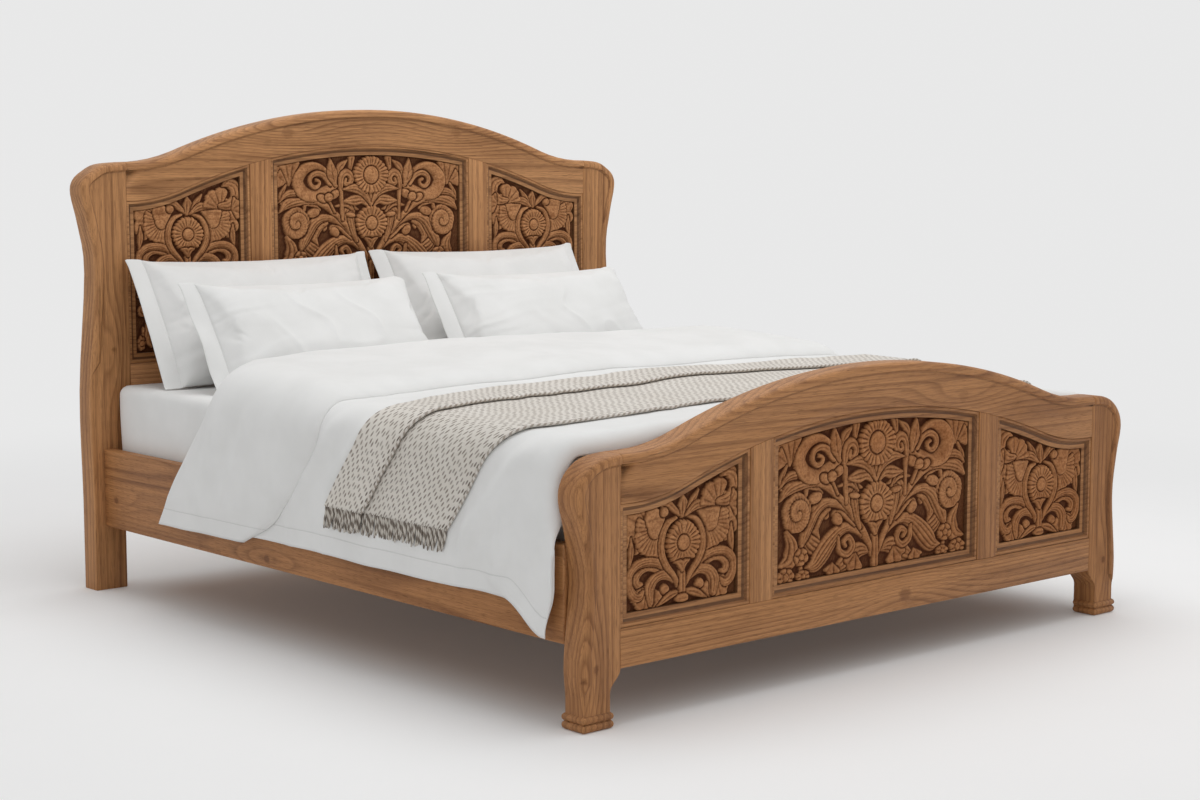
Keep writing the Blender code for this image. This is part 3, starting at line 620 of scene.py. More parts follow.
    def daisy(self, centre: Sequence, size: Sequence, petals: int, disc: float, top: float) -> None:
        """A round flower: hollowed petals with round ends, between grooves out from a domed middle."""
        mask, du, dv = self.around(centre, max(size))
        first_petal = 0.8 * math.sin(3.0 * top)
        (wide, high), disc, top = np.array(size) / MM, disc / MM, top / MM
        least = min(wide, high)
        angle = np.arctan2(dv / high, du / wide)
        r = np.hypot(du / wide, dv / high)
        wave = np.abs(np.sin(petals * angle / 2 + first_petal))
        inside = (0.90 + 0.10 * wave**0.45 + 0.025 * np.sin(5 * angle + 1.0) - r) * least
        rise = top * (0.70 + 0.30 * np.clip((r - 0.2) / 0.7, 0, 1))
        rise -= self.petal_groove * (1 - wave) ** 1.7 * np.clip((r - 0.9 * disc / least) * 4, 0, 1)
        heart = np.hypot(du, dv) / disc
        seeds = top * (0.78 + 0.26 * self.dome(heart)) + self.seed_grain * np.sin(du * 720) * np.sin(dv * 720)
        ring = self.disc_groove * np.exp(-(((heart - 1.08) / 0.11) ** 2))
        rise = np.where(heart < 1, seeds, rise - ring)
        self.raise_to(mask, inside, rise, top)

    def fan(self, root: Sequence, aim: float, spread: float, size: float, ribs: int, top: float,
            ruffle: float = 0.05) -> None:
        """A shell: ribs that fan out from its root to both sides of its aim, to a scalloped rim."""
        mask, du, dv = self.around(root, size)
        size, top = size / MM, top / MM
        turn = np.arctan2(dv, du) - math.radians(aim)
        turn = (turn + math.pi) % (2 * math.pi) - math.pi
        half = math.radians(spread)
        r = np.hypot(du, dv) / size
        share = np.clip(turn / half, -1, 1)
        wave = np.abs(np.sin(ribs * (turn + half) / 2))
        lobes = np.abs(np.sin(2.5 * math.pi * (share + 1) / 2))
        rim = 1 - ruffle + 0.3 * ruffle * wave + ruffle * lobes**0.6 - 0.10 * share**4
        inside = np.minimum((rim - r) * size, (half - np.abs(turn)) * np.maximum(r * size, 0.004))
        rise = top * (0.50 + 0.62 * r - 0.22 * r**3 + 0.10 * lobes * r)
        rise -= self.rib_groove * (1 - wave) ** 1.5 * np.clip(r * 2.2, 0, 1)
        self.raise_to(mask, inside, rise, top)

    def bud(self, centre: Sequence, size: Sequence, turn: float, top: float, clefts: int = 0) -> None:
        """A domed bud: a turned ellipse, with a few clefts along it."""
        mask, du, dv = self.around(centre, max(size))
        (long, wide), top = np.array(size) / MM, top / MM
        c, s = math.cos(math.radians(turn)), math.sin(math.radians(turn))
        a, b = (du * c + dv * s) / long, (dv * c - du * s) / wide
        r = np.hypot(a, b)
        rise = top * (0.60 + 0.40 * self.dome(r))
        if clefts:
            rise -= self.cleft * (1 - np.abs(np.sin(clefts * math.pi * (b + 1) / 2))) ** 2
        self.raise_to(mask, (1 - r) * min(long, wide), rise, top)

    def shell(self, centre: Sequence, size: float, top: float) -> None:
        """A rolled flower: a dome with a spiral groove from its rim to its middle and fine cuts across."""
        mask, du, dv = self.around(centre, size)
        size, top = size / MM, top / MM
        r = np.hypot(du, dv) / size
        angle = np.arctan2(dv, du)
        inside = (0.93 + 0.07 * np.abs(np.sin(2.5 * angle + 0.6)) - r) * size
        phase = (r * 1.75 - angle / (2 * math.pi) + 0.15) % 1.0
        rise = top * (0.62 + 0.38 * self.dome(r)) - self.spiral_groove * (1 - phase) ** 2.2
        rise -= self.fine_cut * (1 - np.abs(np.sin(11 * angle + 9 * r))) ** 2
        self.raise_to(mask, inside, rise, top)

    @staticmethod
    def soften(values: Array, taps: int) -> Array:
        """A blur: each pass averages every point, counted twice, with its four neighbours."""
        out = values.copy()
        for _ in range(taps):
            padded = np.pad(out, 1, mode="edge")
            beside = padded[:-2, 1:-1] + padded[2:, 1:-1] + padded[1:-1, :-2] + padded[1:-1, 2:]
            out = (beside + 2 * out) / 6
        return out


class Design(Enum):
    """Which of the two carved patterns a panel carries."""

    BOUQUET = "centre"
    SPRAY = "side"

BOUQUET_HALF = 336
SPRAY_HALF = 170


def carve_bouquet(r: Relief, deep: float) -> None:
    """The middle panel's pattern on one half, u from its axis out and v from the foot panel's ground edge.

    Args:
        r: the relief that it is raised in.
        deep: how far the panel goes on below v = 0, in millimetres.
    """
    r.fan((292, 268), 66, 52, 86, 17, 10.8, 0.1)
    r.fan((300, 276), 20, 40, 52, 7, 11.4, 0.12)
    r.ribbon([(316, 206, 6), (324, 238, 10), (306, 272, 5)], 9.6, 1)
    r.ribbon([(93, 146, 8), (102, 184, 14), (78, 205, 14), (45, 196, 3)], 10, 2, 0.7)
    r.ribbon([(60, 190, 5), (85, 212, 11), (128, 207, 3)], 9, 1, -0.6)
    r.bud((168, 146), (8, 15), 8, 9.6)
    r.ribbon([(22, 40, 8), (56, 44, 22), (92, 26, 27), (128, 10, 16), (150, 2, 3)], 10.8, 3, 0.8)
    r.fan((66, 44), -70, 54, 50, 9, 10.4, 0.16)
    r.fan((146, 28), -84, 60, 36, 7, 9.6, 0.16)
    r.ribbon([(250, 116, 6), (226, 82, 22), (188, 62, 20), (160, 56, 3)], 10.8, 3, -0.8)
    r.ribbon([(160, 156, 6), (190, 142, 14), (206, 116, 14), (194, 90, 3)], 11.6, 3, 0.4)
    r.ribbon([(9, 36, 6), (31, 69, 8), (62, 93, 10), (93, 104, 13), (124, 100, 18), (154, 80, 25),
             (182, 54, 29), (210, 30, 22), (240, 26, 3)], 13.8, 4, 0.9)
    r.ribbon([(130, 86, 6), (124, 54, 9), (98, 42, 10), (80, 60, 10), (92, 81, 9), (109, 74, 8),
             (103, 62, 6)], 12.8, 1, 0.5)
    r.ribbon([(49, 91, 6), (93, 138, 9), (133, 164, 10), (173, 171, 13), (205, 157, 18), (228, 129, 21),
             (246, 98, 17), (258, 70, 3)], 13.8, 3, 0.9)
    r.ribbon([(138, 138, 15), (117, 141, 7), (93, 122, 6), (74, 107, 4)], 11.8)
    r.bud((134, 130), (19, 15), 40, 12.8, 1)
    r.ribbon([(242, 198, 7), (236, 215, 7), (212, 213, 8), (186, 197, 5)], 11.2)
    r.bud((210, 188), (24, 15), -14, 12.2, 1)
    r.shell((272, 158), 50, 14.4)
    r.ribbon([(306, 116, 7), (290, 84, 20), (298, 50, 24), (330, 40, 4)], 12.6, 2, -0.9)
    r.ribbon([(252, 10, 8), (258, 40, 6)], 9.6)
    r.daisy((258, 54), (25, 22), 5, 8, 12.2)
    r.daisy((308, 12), (30, 22), 7, 9, 10.6)
    r.daisy((250, 8), (24, 15), 6, 6, 10.8)
    r.ribbon([(1, 17, 8), (31, 73, 10), (62, 116, 10), (102, 157, 10), (142, 192, 10), (182, 217, 11),
             (222, 227, 14), (266, 226, 18), (304, 215, 16), (332, 190, 2)], 14.8, 3, 0.5)
    r.ribbon([(216, 234, 6), (264, 247, 12), (304, 243, 11), (332, 220, 2)], 12.6, 2, 0.8)
    r.ribbon([(54, 100, 7), (66, 131, 11), (73, 160, 14), (74, 178, 16)], 12.8, 2)
    r.bud((75, 180), (20, 9), 8, 13.4, 1)
    r.ribbon([(147, 281, 6), (166, 312, 9), (201, 327, 13), (240, 317, 19), (263, 285, 22), (248, 252, 23),
             (213, 240, 20), (179, 248, 17), (146, 262, 14), (118, 270, 3)], 15.2, 0, 1.0)
    r.ribbon([(150, 272, 8), (169, 297, 10), (194, 306, 10), (216, 297, 9), (220, 278, 8), (207, 265, 8),
             (192, 269, 7), (188, 281, 6), (198, 286, 6)], 14.2, 1, 0.6)
    r.ribbon([(154, 226, 6), (133, 190, 6)], 10.8)
    r.bud((179, 231), (21, 14), 22, 13.4, 1)
    r.bud((133, 243), (20, 14), -24, 13.4, 1)
    r.bud((156, 234), (17, 15), 0, 14.4, 2)
    r.ribbon([(77, 298, 5), (73, 323, 8), (68, 352, 14)], 11.2, 1)
    r.ribbon([(122, 300, 5), (110, 326, 13), (84, 346, 2)], 12, 1, 0.5)
    r.ribbon([(131, 270, 7), (142, 307, 21), (147, 350, 3)], 13, 0, 0.3, 4)
    r.ribbon([(106, 166, 7), (108, 230, 7), (111, 273, 10), (102, 301, 15), (83, 307, 14), (70, 291, 12),
             (79, 273, 10), (95, 276, 8), (92, 289, 6)], 14.2, 1, 0.5)
    r.ribbon([(0, 196, 8), (0, 256, 8)], 11.2)
    r.ribbon([(6, 204, 5), (31, 225, 13), (62, 224, 17), (97, 222, 4)], 12.4, 2, -0.5)
    r.ribbon([(1, 208, 5), (24, 243, 13), (58, 260, 15), (106, 257, 2)], 13.8, 2, 0.6)
    r.daisy((0, 301), (65, 57), 26, 26, 16)
    r.ribbon([(0, 4, 13), (0, 60, 12), (0, 118, 11)], 14, 1)
    r.daisy((0, 154), (59, 53), 22, 20, 16)
    r.ribbon([(0, 82, 9), (6, 98, 12), (24, 109, 3)], 14.4, 1, 0.5)
    if deep > 0:
        carve_undergrowth(r, deep, BOUQUET_HALF)


def carve_undergrowth(r: Relief, deep: float, half: float) -> None:
    """Scrolls and leaves that carry a taller panel's pattern down to its foot.

    Args:
        r: the relief.
        deep: how far the panel goes on below v = 0, in millimetres.
        half: the panel's half width.
    """
    k = half / BOUQUET_HALF

    def at(u: float, v: float, *rest: float) -> tuple[float, ...]:
        """A place given on the middle panel, with v from the panel's foot upwards."""
        return (u * k, v - deep, *rest)

    r.fan(at(250, 60), -40, 70, 58 * k, 11, 10.5, 0.12)
    for top, flutes, tilt, *points in (
            (12, 2, 0.6, (6, 70, 5), (40, 116, 13), (96, 140, 3)),
            (13.5, 3, 0.9, (4, 20, 6), (50, 65, 8), (110, 105, 10), (180, 112, 14), (236, 84, 18),
             (262, 40, 14), (246, 14, 3)),
            (12.8, 1, 0.5, (130, 104, 5), (172, 78, 8), (164, 38, 9), (124, 28, 9), (102, 50, 8),
             (124, 68, 7), (136, 52, 5)),
            (11.5, 2, 0.7, (10, 20, 5), (46, 32, 14), (90, 10, 3)),
            (11.5, 1, 0.5, (100, 142, 4), (134, 164, 13), (168, 150, 3)),
            (11.8, 2, 0.6, (230, 152, 4), (272, 172, 14), (322, 158, 3)),
            (13.8, 1, 0.0, (0, 230, 11), (0, 100, 11), (0, 8, 13))):
        r.ribbon([at(*point) for point in points], top, flutes, tilt)
    r.shell(at(292, 118), 36 * k, 13)
    r.daisy(at(196, 150), (30 * k, 27), 12, 10, 13.5)
    r.daisy(at(308, 26), (26 * k, 22), 7, 8, 11.5)


def carve_spray(r: Relief, deep: float) -> None:
    """The side panels' pattern; u runs towards the bed's middle. What both halves share is raised on each.

    Args:
        r: the relief that it is raised in.
        deep: how far the panel goes on below v = 0, in millimetres.
    """
    signed = r.u
    r.u = np.abs(signed)
    r.fan((96, 176), 16, 74, 78, 13, 11.2, 0.14)
    r.ribbon([(152, 162, 3), (151, 130, 11), (156, 98, 4)], 10.8, 1, 0.6)
    r.ribbon([(92, 122, 14), (84, 104, 11), (70, 88, 5)], 10, 1)
    r.fan((76, 174), -44, 74, 70, 34, 13.2, 0.1)
    r.fan((46, 200), -12, 46, 68, 7, 14.4, 0.06)
    r.fan((104, 50), -84, 74, 58, 13, 11.2, 0.14)
    r.ribbon([(56, 74, 4), (78, 83, 8), (100, 90, 9), (122, 86, 10), (137, 72, 11), (133, 57, 10),
             (120, 56, 5)], 12.4, 2)
    r.ribbon([(3, 30, 6), (31, 68, 9), (62, 91, 11), (97, 102, 12), (132, 99, 12), (154, 82, 12),
             (157, 57, 12), (146, 36, 13), (130, 30, 12), (118, 40, 5)], 14, 3, 0.7)
    r.ribbon([(3, 34, 6), (28, 58, 10), (56, 68, 12), (81, 62, 14), (96, 42, 17),
              (94, 12, 12)], 13.6, 3, 0.7)
    r.bud((53, 36), (14, 13), 0, 11.6, 1)
    r.ribbon([(4, 26, 4), (40, 18, 11), (76, 0, 4)], 11.2, 1, 0.5)
    r.ribbon([(4, 28, 6), (25, 62, 8), (50, 90, 10), (64, 120, 11), (62, 152, 10), (46, 180, 8),
             (18, 192, 4)], 14.2, 2, 0.4)
    r.ribbon([(0, 10, 12), (0, 50, 12), (0, 96, 11)], 13.6, 1)
    r.daisy((0, 135), (51, 50), 24, 17, 16)
    r.ribbon([(0, 74, 8), (6, 88, 11), (22, 94, 3)], 14.2, 1, 0.5)
    r.bud((0, 10), (22, 12), 0, 12, 2)
    r.u = signed
    r.ribbon([(-2, 194, 5), (-24, 211, 9), (-44, 226, 10), (-60, 216, 7)], 12.4, 1)
    r.bud((-56, 208), (14, 13), 0, 12.6, 1)
    r.ribbon([(0, 194, 7), (4, 218, 17), (1, 242, 4)], 12.6, 2, 0.3)
    r.ribbon([(12, 194, 5), (30, 222, 11), (50, 248, 3)], 12, 1)
    r.ribbon([(10, 194, 5), (44, 213, 13), (86, 208, 3)], 13, 2, 0.6)
    r.fan((112, 204), 118, 56, 64, 15, 13.4, 0.1)
    r.ribbon([(110, 214, 10), (140, 216, 17), (166, 236, 20), (162, 268, 20), (138, 280, 15),
             (120, 272, 4)], 13.8, 2, 0.8)
    r.fan((146, 204), 10, 70, 40, 9, 11.4, 0.12)
    if deep > 0:
        r.u = np.abs(signed)
        carve_undergrowth(r, deep, SPRAY_HALF)
        r.u = signed


@dataclass
class CarvedPanel:
    """One carved panel's relief, seated on the sunk ground of its panel."""

    board: "Board"
    name: str
    low_x: float
    high_x: float
    design: Design
    pitch: float = 0.0020
    border: float = 0.0286
    seat: float = 0.0004
    skin: float = 0.0006
    tooling: float = 0.0004
    fade: float = 0.004
    darkest: float = 0.95
    skirt_stain_and_shade: float = 0.90

    def build(self, material: Material) -> Piece:
        """Makes the relief: rows of the grid run up from the bottom edge to the arched top edge.

        Args:
            material: carved wood.

        Returns:
            The piece.
        """
        left, right = self.low_x + self.border, self.high_x - self.border
        low = self.board.rail_high + self.border
        x = np.linspace(left, right, int((right - left) / self.pitch) + 1)
        top = self.board.crest_low(x) - self.border
        rows = int((top.max() - low) / self.pitch) + 1
        gx = np.broadcast_to(x, (rows, len(x)))
        gz = low + np.linspace(0, 1, rows)[:, None] * (top - low)[None, :]
        middle = (left + right) / 2
        towards = -np.sign(middle) if self.design is Design.SPRAY else 1.0
        deep = self.board.carving_shift
        relief = Relief(np.array((gx - middle) * towards), np.array(gz - low - deep))
        if self.design is Design.BOUQUET:
            relief.u = np.abs(relief.u)
            carve_bouquet(relief, deep * MM)
        else:
            carve_spray(relief, deep * MM)
        ground = self.tooling * (np.sin(gx * 905 + 2 * np.sin(gz * 410)) * np.sin(gz * 870 + gx * 190))
        height = Relief.soften(np.maximum(relief.height, ground + self.tooling), 1)
        gap = np.minimum(np.minimum(gx - left, right - gx), np.minimum(gz - low, top[None, :] - gz))
        under_bead = 0.72 + 0.28 * np.clip(gap / self.fade, 0, 1)
        return self.shell(gx, gz, height * under_bead, material)

    def shell(self, gx: Array, gz: Array, height: Array, material: Material) -> Piece:
        """Closes the relief with a skirt round its border and a flat back on the ground."""
        rows, columns = height.shape
        ground = self.board.ground_y - self.seat
        front = np.stack([gx, ground - self.skin - height, gz], axis=2).reshape(-1, 3)
        number = np.arange(rows * columns).reshape(rows, columns)
        ring = np.concatenate([number[0, :-1], number[:-1, -1], number[-1, :0:-1], number[:0:-1, 0]])
        back = front[ring].copy()
        back[:, 1] = ground
        base = rows * columns + np.arange(len(ring))
        skirt = np.stack([np.roll(ring, -1), ring, base, np.roll(base, -1)], axis=1)
        faces = [*Meshes.grid_faces(rows, columns), *skirt, base]
        piece = Meshes.build(self.name, np.concatenate([front, back]), faces)
        # hollow holds stain and painted shade, nearly at its darkest on the skirt; worn holds the rubbed wear
        for name, values, at_skirt in (("hollow", self.hollow(height), self.skirt_stain_and_shade),
                                       ("worn", self.worn(height), 0.0)):
            Meshes.give(piece, name, np.concatenate([values.ravel(), np.full(len(ring), at_skirt)]))
        return Meshes.seat(piece, material, "stained_wood")

    def hollow(self, height: Array) -> Array:
        """How much stain and painted shade a place gets: more where it lies below its surroundings or near
        the ground.
        """
        wide, middle, narrow = (Relief.soften(height, taps) for taps in (26, 12, 5))
        # painted shade by height: low parts darker than high ones
        total = np.clip(1 - height / 0.0150, 0, 1) ** 1.2 * 0.42
        for below, span, share in ((wide - height, 0.0060, 0.38), (0.0050 - height, 0.0040, 0.42),
                                   (middle - height, 0.0028, 0.30),
                                   (narrow - height - 0.0001, 0.0011, 0.48)):
            total += np.clip(below / span, 0, 1) * share
        return np.clip(total, 0, self.darkest)

    def worn(self, height: Array) -> Array:
        """How much each place stands above its near surroundings, where the stain is rubbed off."""
        return np.clip((height - Relief.soften(height, 5)) / 0.0009, 0, 1)


@dataclass
class Board:
    """Head or foot board: the curve of its crest and where its panels sit."""

    name: str
    apex: float
    level_from: float
    rail_high: float
    ground_y: float
    side_reach: float
    carving_shift: float
    crown: float = 1.85
    cove: float = 0.50
    crest_width: float = 0.109
    stile: float = 0.368
    stile_width: float = 0.073

    def crest_low(self, x: Array) -> Array:
        """Lower edge of the crest: a convex arc in the middle that turns into a hollow arc and ends level."""
        run = np.minimum(np.abs(x), self.level_from)
        turn = self.level_from / (self.crown + self.cove)
        meet = self.crown * turn
        level = (self.crown + self.cove) * (1 - math.sqrt(1 - turn**2))
        convex = self.crown - np.sqrt(self.crown**2 - run**2)
        hollow = level - self.cove + np.sqrt(np.clip(self.cove**2 - (self.level_from - run) ** 2, 0, None))
        return self.apex - np.where(run < meet, convex, hollow) - self.crest_width

    def carve(self, material: Material) -> list[Piece]:
        """Carves the three panels."""
        inner = self.stile + self.stile_width
        bays = {
            "left": (-self.side_reach, -inner, Design.SPRAY),
            "centre": (-self.stile, self.stile, Design.BOUQUET),
            "right": (inner, self.side_reach, Design.SPRAY),
        }
        return [CarvedPanel(self, f"{self.name}_carving_{bay}", low, high, design).build(material)
                for bay, (low, high, design) in bays.items()]


def ripple(x: Array, y: Array, seed: int) -> Array:
    """Smooth noise from -1 to 1: seeded heights at whole numbers, eased between them."""
    size = 64
    lattice = np.random.default_rng(seed).uniform(-1.0, 1.0, (size, size))
    i, j = np.floor(x).astype(int), np.floor(y).astype(int)
    fx, fy = x - i, y - j
    fx, fy = fx * fx * (3 - 2 * fx), fy * fy * (3 - 2 * fy)
    i0, i1, j0, j1 = i % size, (i + 1) % size, j % size, (j + 1) % size
    low = lattice[i0, j0] * (1 - fx) + lattice[i1, j0] * fx
    high = lattice[i0, j1] * (1 - fx) + lattice[i1, j1] * fx
    return low * (1 - fy) + high * fy


def step(x: Array, low: float, high: float) -> Array:
    """A smooth step from 0 at low to 1 at high."""
    t = np.clip((x - low) / (high - low), 0, 1)
    return t * t * (3 - 2 * t)


def traced(x: Array, places: Sequence[tuple[float, float]]) -> Array:
    """A smooth curve through places in millimetres: a cubic on each span, slopes the mean of both sides'."""
    px, py = np.array(places, float).T / MM
    slope = np.gradient(py, px)
    k = np.clip(np.searchsorted(px, x) - 1, 0, len(px) - 2)
    width = px[k + 1] - px[k]
    t = np.clip((x - px[k]) / width, 0, 1)
    return ((2 * t**3 - 3 * t**2 + 1) * py[k] + (t**3 - 2 * t**2 + t) * width * slope[k]
            + (3 * t**2 - 2 * t**3) * py[k + 1] + (t**3 - t**2) * width * slope[k + 1])


@dataclass(frozen=True)
class Linen:
    """White washed cotton: a fine plain weave, soft unevenness, and a stitched line inside each hem."""

    name: str
    white: Colour = (0.862, 0.862, 0.852)
    shade: Colour = (0.818, 0.818, 0.805)
    threads: float = 1900.0
    hem: float = 0.045
    hemmed: bool = False

    def make(self) -> Material:
        """Builds the material."""
        s = Shader(self.name)
        place = s.place()
        x, y, z = s.parts(place)
        warp = ((x + y) * self.threads).sine()
        weft = ((z + x * 0.35 - y * 0.35) * self.threads).sine()
        slub = s.noise(place, 260.0, 2.0, 0.6)
        cloud = s.noise(place, 7.0, 3.0, 0.55)
        tint = s.mix(cloud.rise(0.30, 0.72), self.white, self.shade)
        height = warp * weft * 0.30 + slub * 0.9
        if self.hemmed:
            edge = s.attribute("edge")
            seam = abs(edge - self.hem).rise(0.0022, 0.0004)
            stitch = ((x + y + z) * 1400.0).sine().rise(-0.2, 0.3)
            tint = s.mix(seam * (0.22 + stitch * 0.12), tint, (0.46, 0.46, 0.45))
            height = height - seam * 6.0
        return s.finish(Base_Color=tint, Roughness=0.86 + slub * 0.08, Sheen_Weight=0.15, Sheen_Roughness=0.5,
                        Specular_IOR_Level=0.25, Normal=s.bump(height, 0.00022, 0.5))


@dataclass(frozen=True)
class Knit:
    """Cream knit with slanting brown flecks in staggered rows, on the piece's own UV in metres.

    The flecks are darker along the two finished sides, where the stitches are braided.
    """

    name: str = "beige_knit_wool"
    cream: Colour = (0.825, 0.782, 0.718)
    warm: Colour = (0.730, 0.678, 0.608)
    brown: Colour = (0.225, 0.176, 0.137)
    braid: Colour = (0.130, 0.096, 0.070)
    across: float = 0.0120
    along: float = 0.0216
    width: float = 0.7194
    border: float = 0.0240
    scatter: tuple[float, float] = (12.9898, 43758.5)

    def make(self) -> Material:
        """Builds the material."""
        s = Shader(self.name)
        u, v, _ = s.parts(s.node("ShaderNodeTexCoord", out="UV"))
        place = s.place()
        column = v / self.across
        chance = ((column.floor() * self.scatter[0]).sine() * self.scatter[1]).fract()
        shift = (column.floor() * 0.5 + chance * 0.40).fract()
        cell = (u / self.along + shift).fract() - 0.5
        rib = column.fract() - 0.5
        slant = rib + cell * 0.12
        dome = cell * cell * 14.0 + slant * slant * 12.0
        fleck = dome.rise(1.45, 0.35)
        uneven = s.noise(place, 70.0, 1.0).rise(0.30, 0.70)
        wool = s.noise(place, 900.0, 3.0, 0.7)
        cloud = s.noise(place, 9.0, 2.0)
        half = self.width / 2
        side = half - self.border
        finished = (v - half).most(half - v).rise(side - 0.003, side + 0.002)
        strand = ((cell * 9.0 + rib * 5.0) * TURN).sine()
        tint = s.mix(cloud.rise(0.3, 0.7) * 0.5 + wool * 0.35, self.cream, self.warm)
        thread = s.mix(finished, self.brown, self.braid)
        tint = s.mix(fleck * (0.60 + uneven * 0.28 + finished * 0.12), tint, thread)
        height = strand * 0.08 + wool * 0.22 - fleck * 0.8 + finished * 0.3
        return s.finish(Base_Color=tint, Roughness=0.92, Sheen_Weight=0.25, Sheen_Roughness=0.6,
                        Specular_IOR_Level=0.15, Normal=s.bump(height, 0.0019, 0.8))


@dataclass(frozen=True)
class Yarn:
    """Twisted yarn of the throw's edges and fringe: cream and brown plies that wind round the strand."""

    name: str = "twisted_yarn"
    cream: Colour = (0.640, 0.595, 0.535)
    brown: Colour = (0.135, 0.102, 0.076)

    def make(self) -> Material:
        """Builds the material."""
        s = Shader(self.name)
        u, v, _ = s.parts(s.node("ShaderNodeTexCoord", out="UV"))
        wool = s.noise(s.place(), 1100.0, 2.0, 0.7)
        ply = ((u + v) * TURN).sine()
        tint = s.mix(ply.rise(-0.4, 0.6) * 0.80, self.cream, self.brown)
        return s.finish(Base_Color=tint, Roughness=0.93, Specular_IOR_Level=0.15,
                        Normal=s.bump(ply * 0.7 + wool * 0.4, 0.0012, 0.8))


@dataclass
class Mattress:
    """The mattress in its fitted sheet: a box with rounded edges, and slack in the sheet at its sides."""

    low: tuple[float, float, float]
    high: tuple[float, float, float]
    round_by: float = 0.028
    pitch: float = 0.0105
    merge: float = 0.0001
    side_slack: float = 0.006
    top_slack: float = 0.0025

    def build(self, material: Material) -> Piece:
        """Projects a box grid on a rounded box, then lets its sheet lie a little slack."""
        low, high = np.array(self.low), np.array(self.high)
        middle, half = (low + high) / 2, (high - low) / 2
        points, faces, count = [], [], 0
        for axis in range(3):
            for sign in (-1.0, 1.0):
                u, v = [a for a in range(3) if a != axis]
                nu, nv = (int(2 * half[a] / self.pitch) + 1 for a in (u, v))
                gu, gv = np.meshgrid(np.linspace(-half[u], half[u], nu), np.linspace(-half[v], half[v], nv))
                p = np.zeros((nv * nu, 3))
                p[:, u], p[:, v], p[:, axis] = gu.ravel(), gv.ravel(), sign * half[axis]
                quads = Meshes.grid_faces(nv, nu)
                outward = sign * (1 if axis != 1 else -1)
                faces.append(count + (quads if outward > 0 else quads[:, ::-1]))
                points.append(p)
                count += len(p)
        p = np.concatenate(points)
        core = np.clip(p, -(half - self.round_by), half - self.round_by)
        away = p - core
        p = core + self.round_by * away / np.linalg.norm(away, axis=1, keepdims=True)
        piece = Meshes.build("mattress_in_sheet", self.slack(p, half) + middle, np.concatenate(faces))
        Meshes.merge(piece.data, piece.data, self.merge)
        Meshes.seat(piece, material, "mattress_cover")
        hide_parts("mattress")
        return piece

    def slack(self, p: Array, half: Array) -> Array:
        """Pulls the sheet in by up to a few millimetres in soft upright folds that fade towards the top."""
        side = step(np.abs(p[:, 0]), half[0] - 0.03, half[0] - 0.005)
        fall = step(-p[:, 2], -0.06, 0.10)
        fold = ripple(p[:, 1] * 9.0 + 2.0 * p[:, 2], p[:, 2] * 2.0 + 5.0, 7) * 0.5 + 0.5
        pull = self.side_slack * side * fall * fold
        p = p.copy()
        p[:, 0] -= np.sign(p[:, 0]) * pull
        crown = step(p[:, 2], half[2] - 0.03, half[2] - 0.002)
        p[:, 2] -= crown * self.top_slack * (ripple(p[:, 0] * 4.0, p[:, 1] * 4.0, 11) * 0.5 + 0.5)
        return p


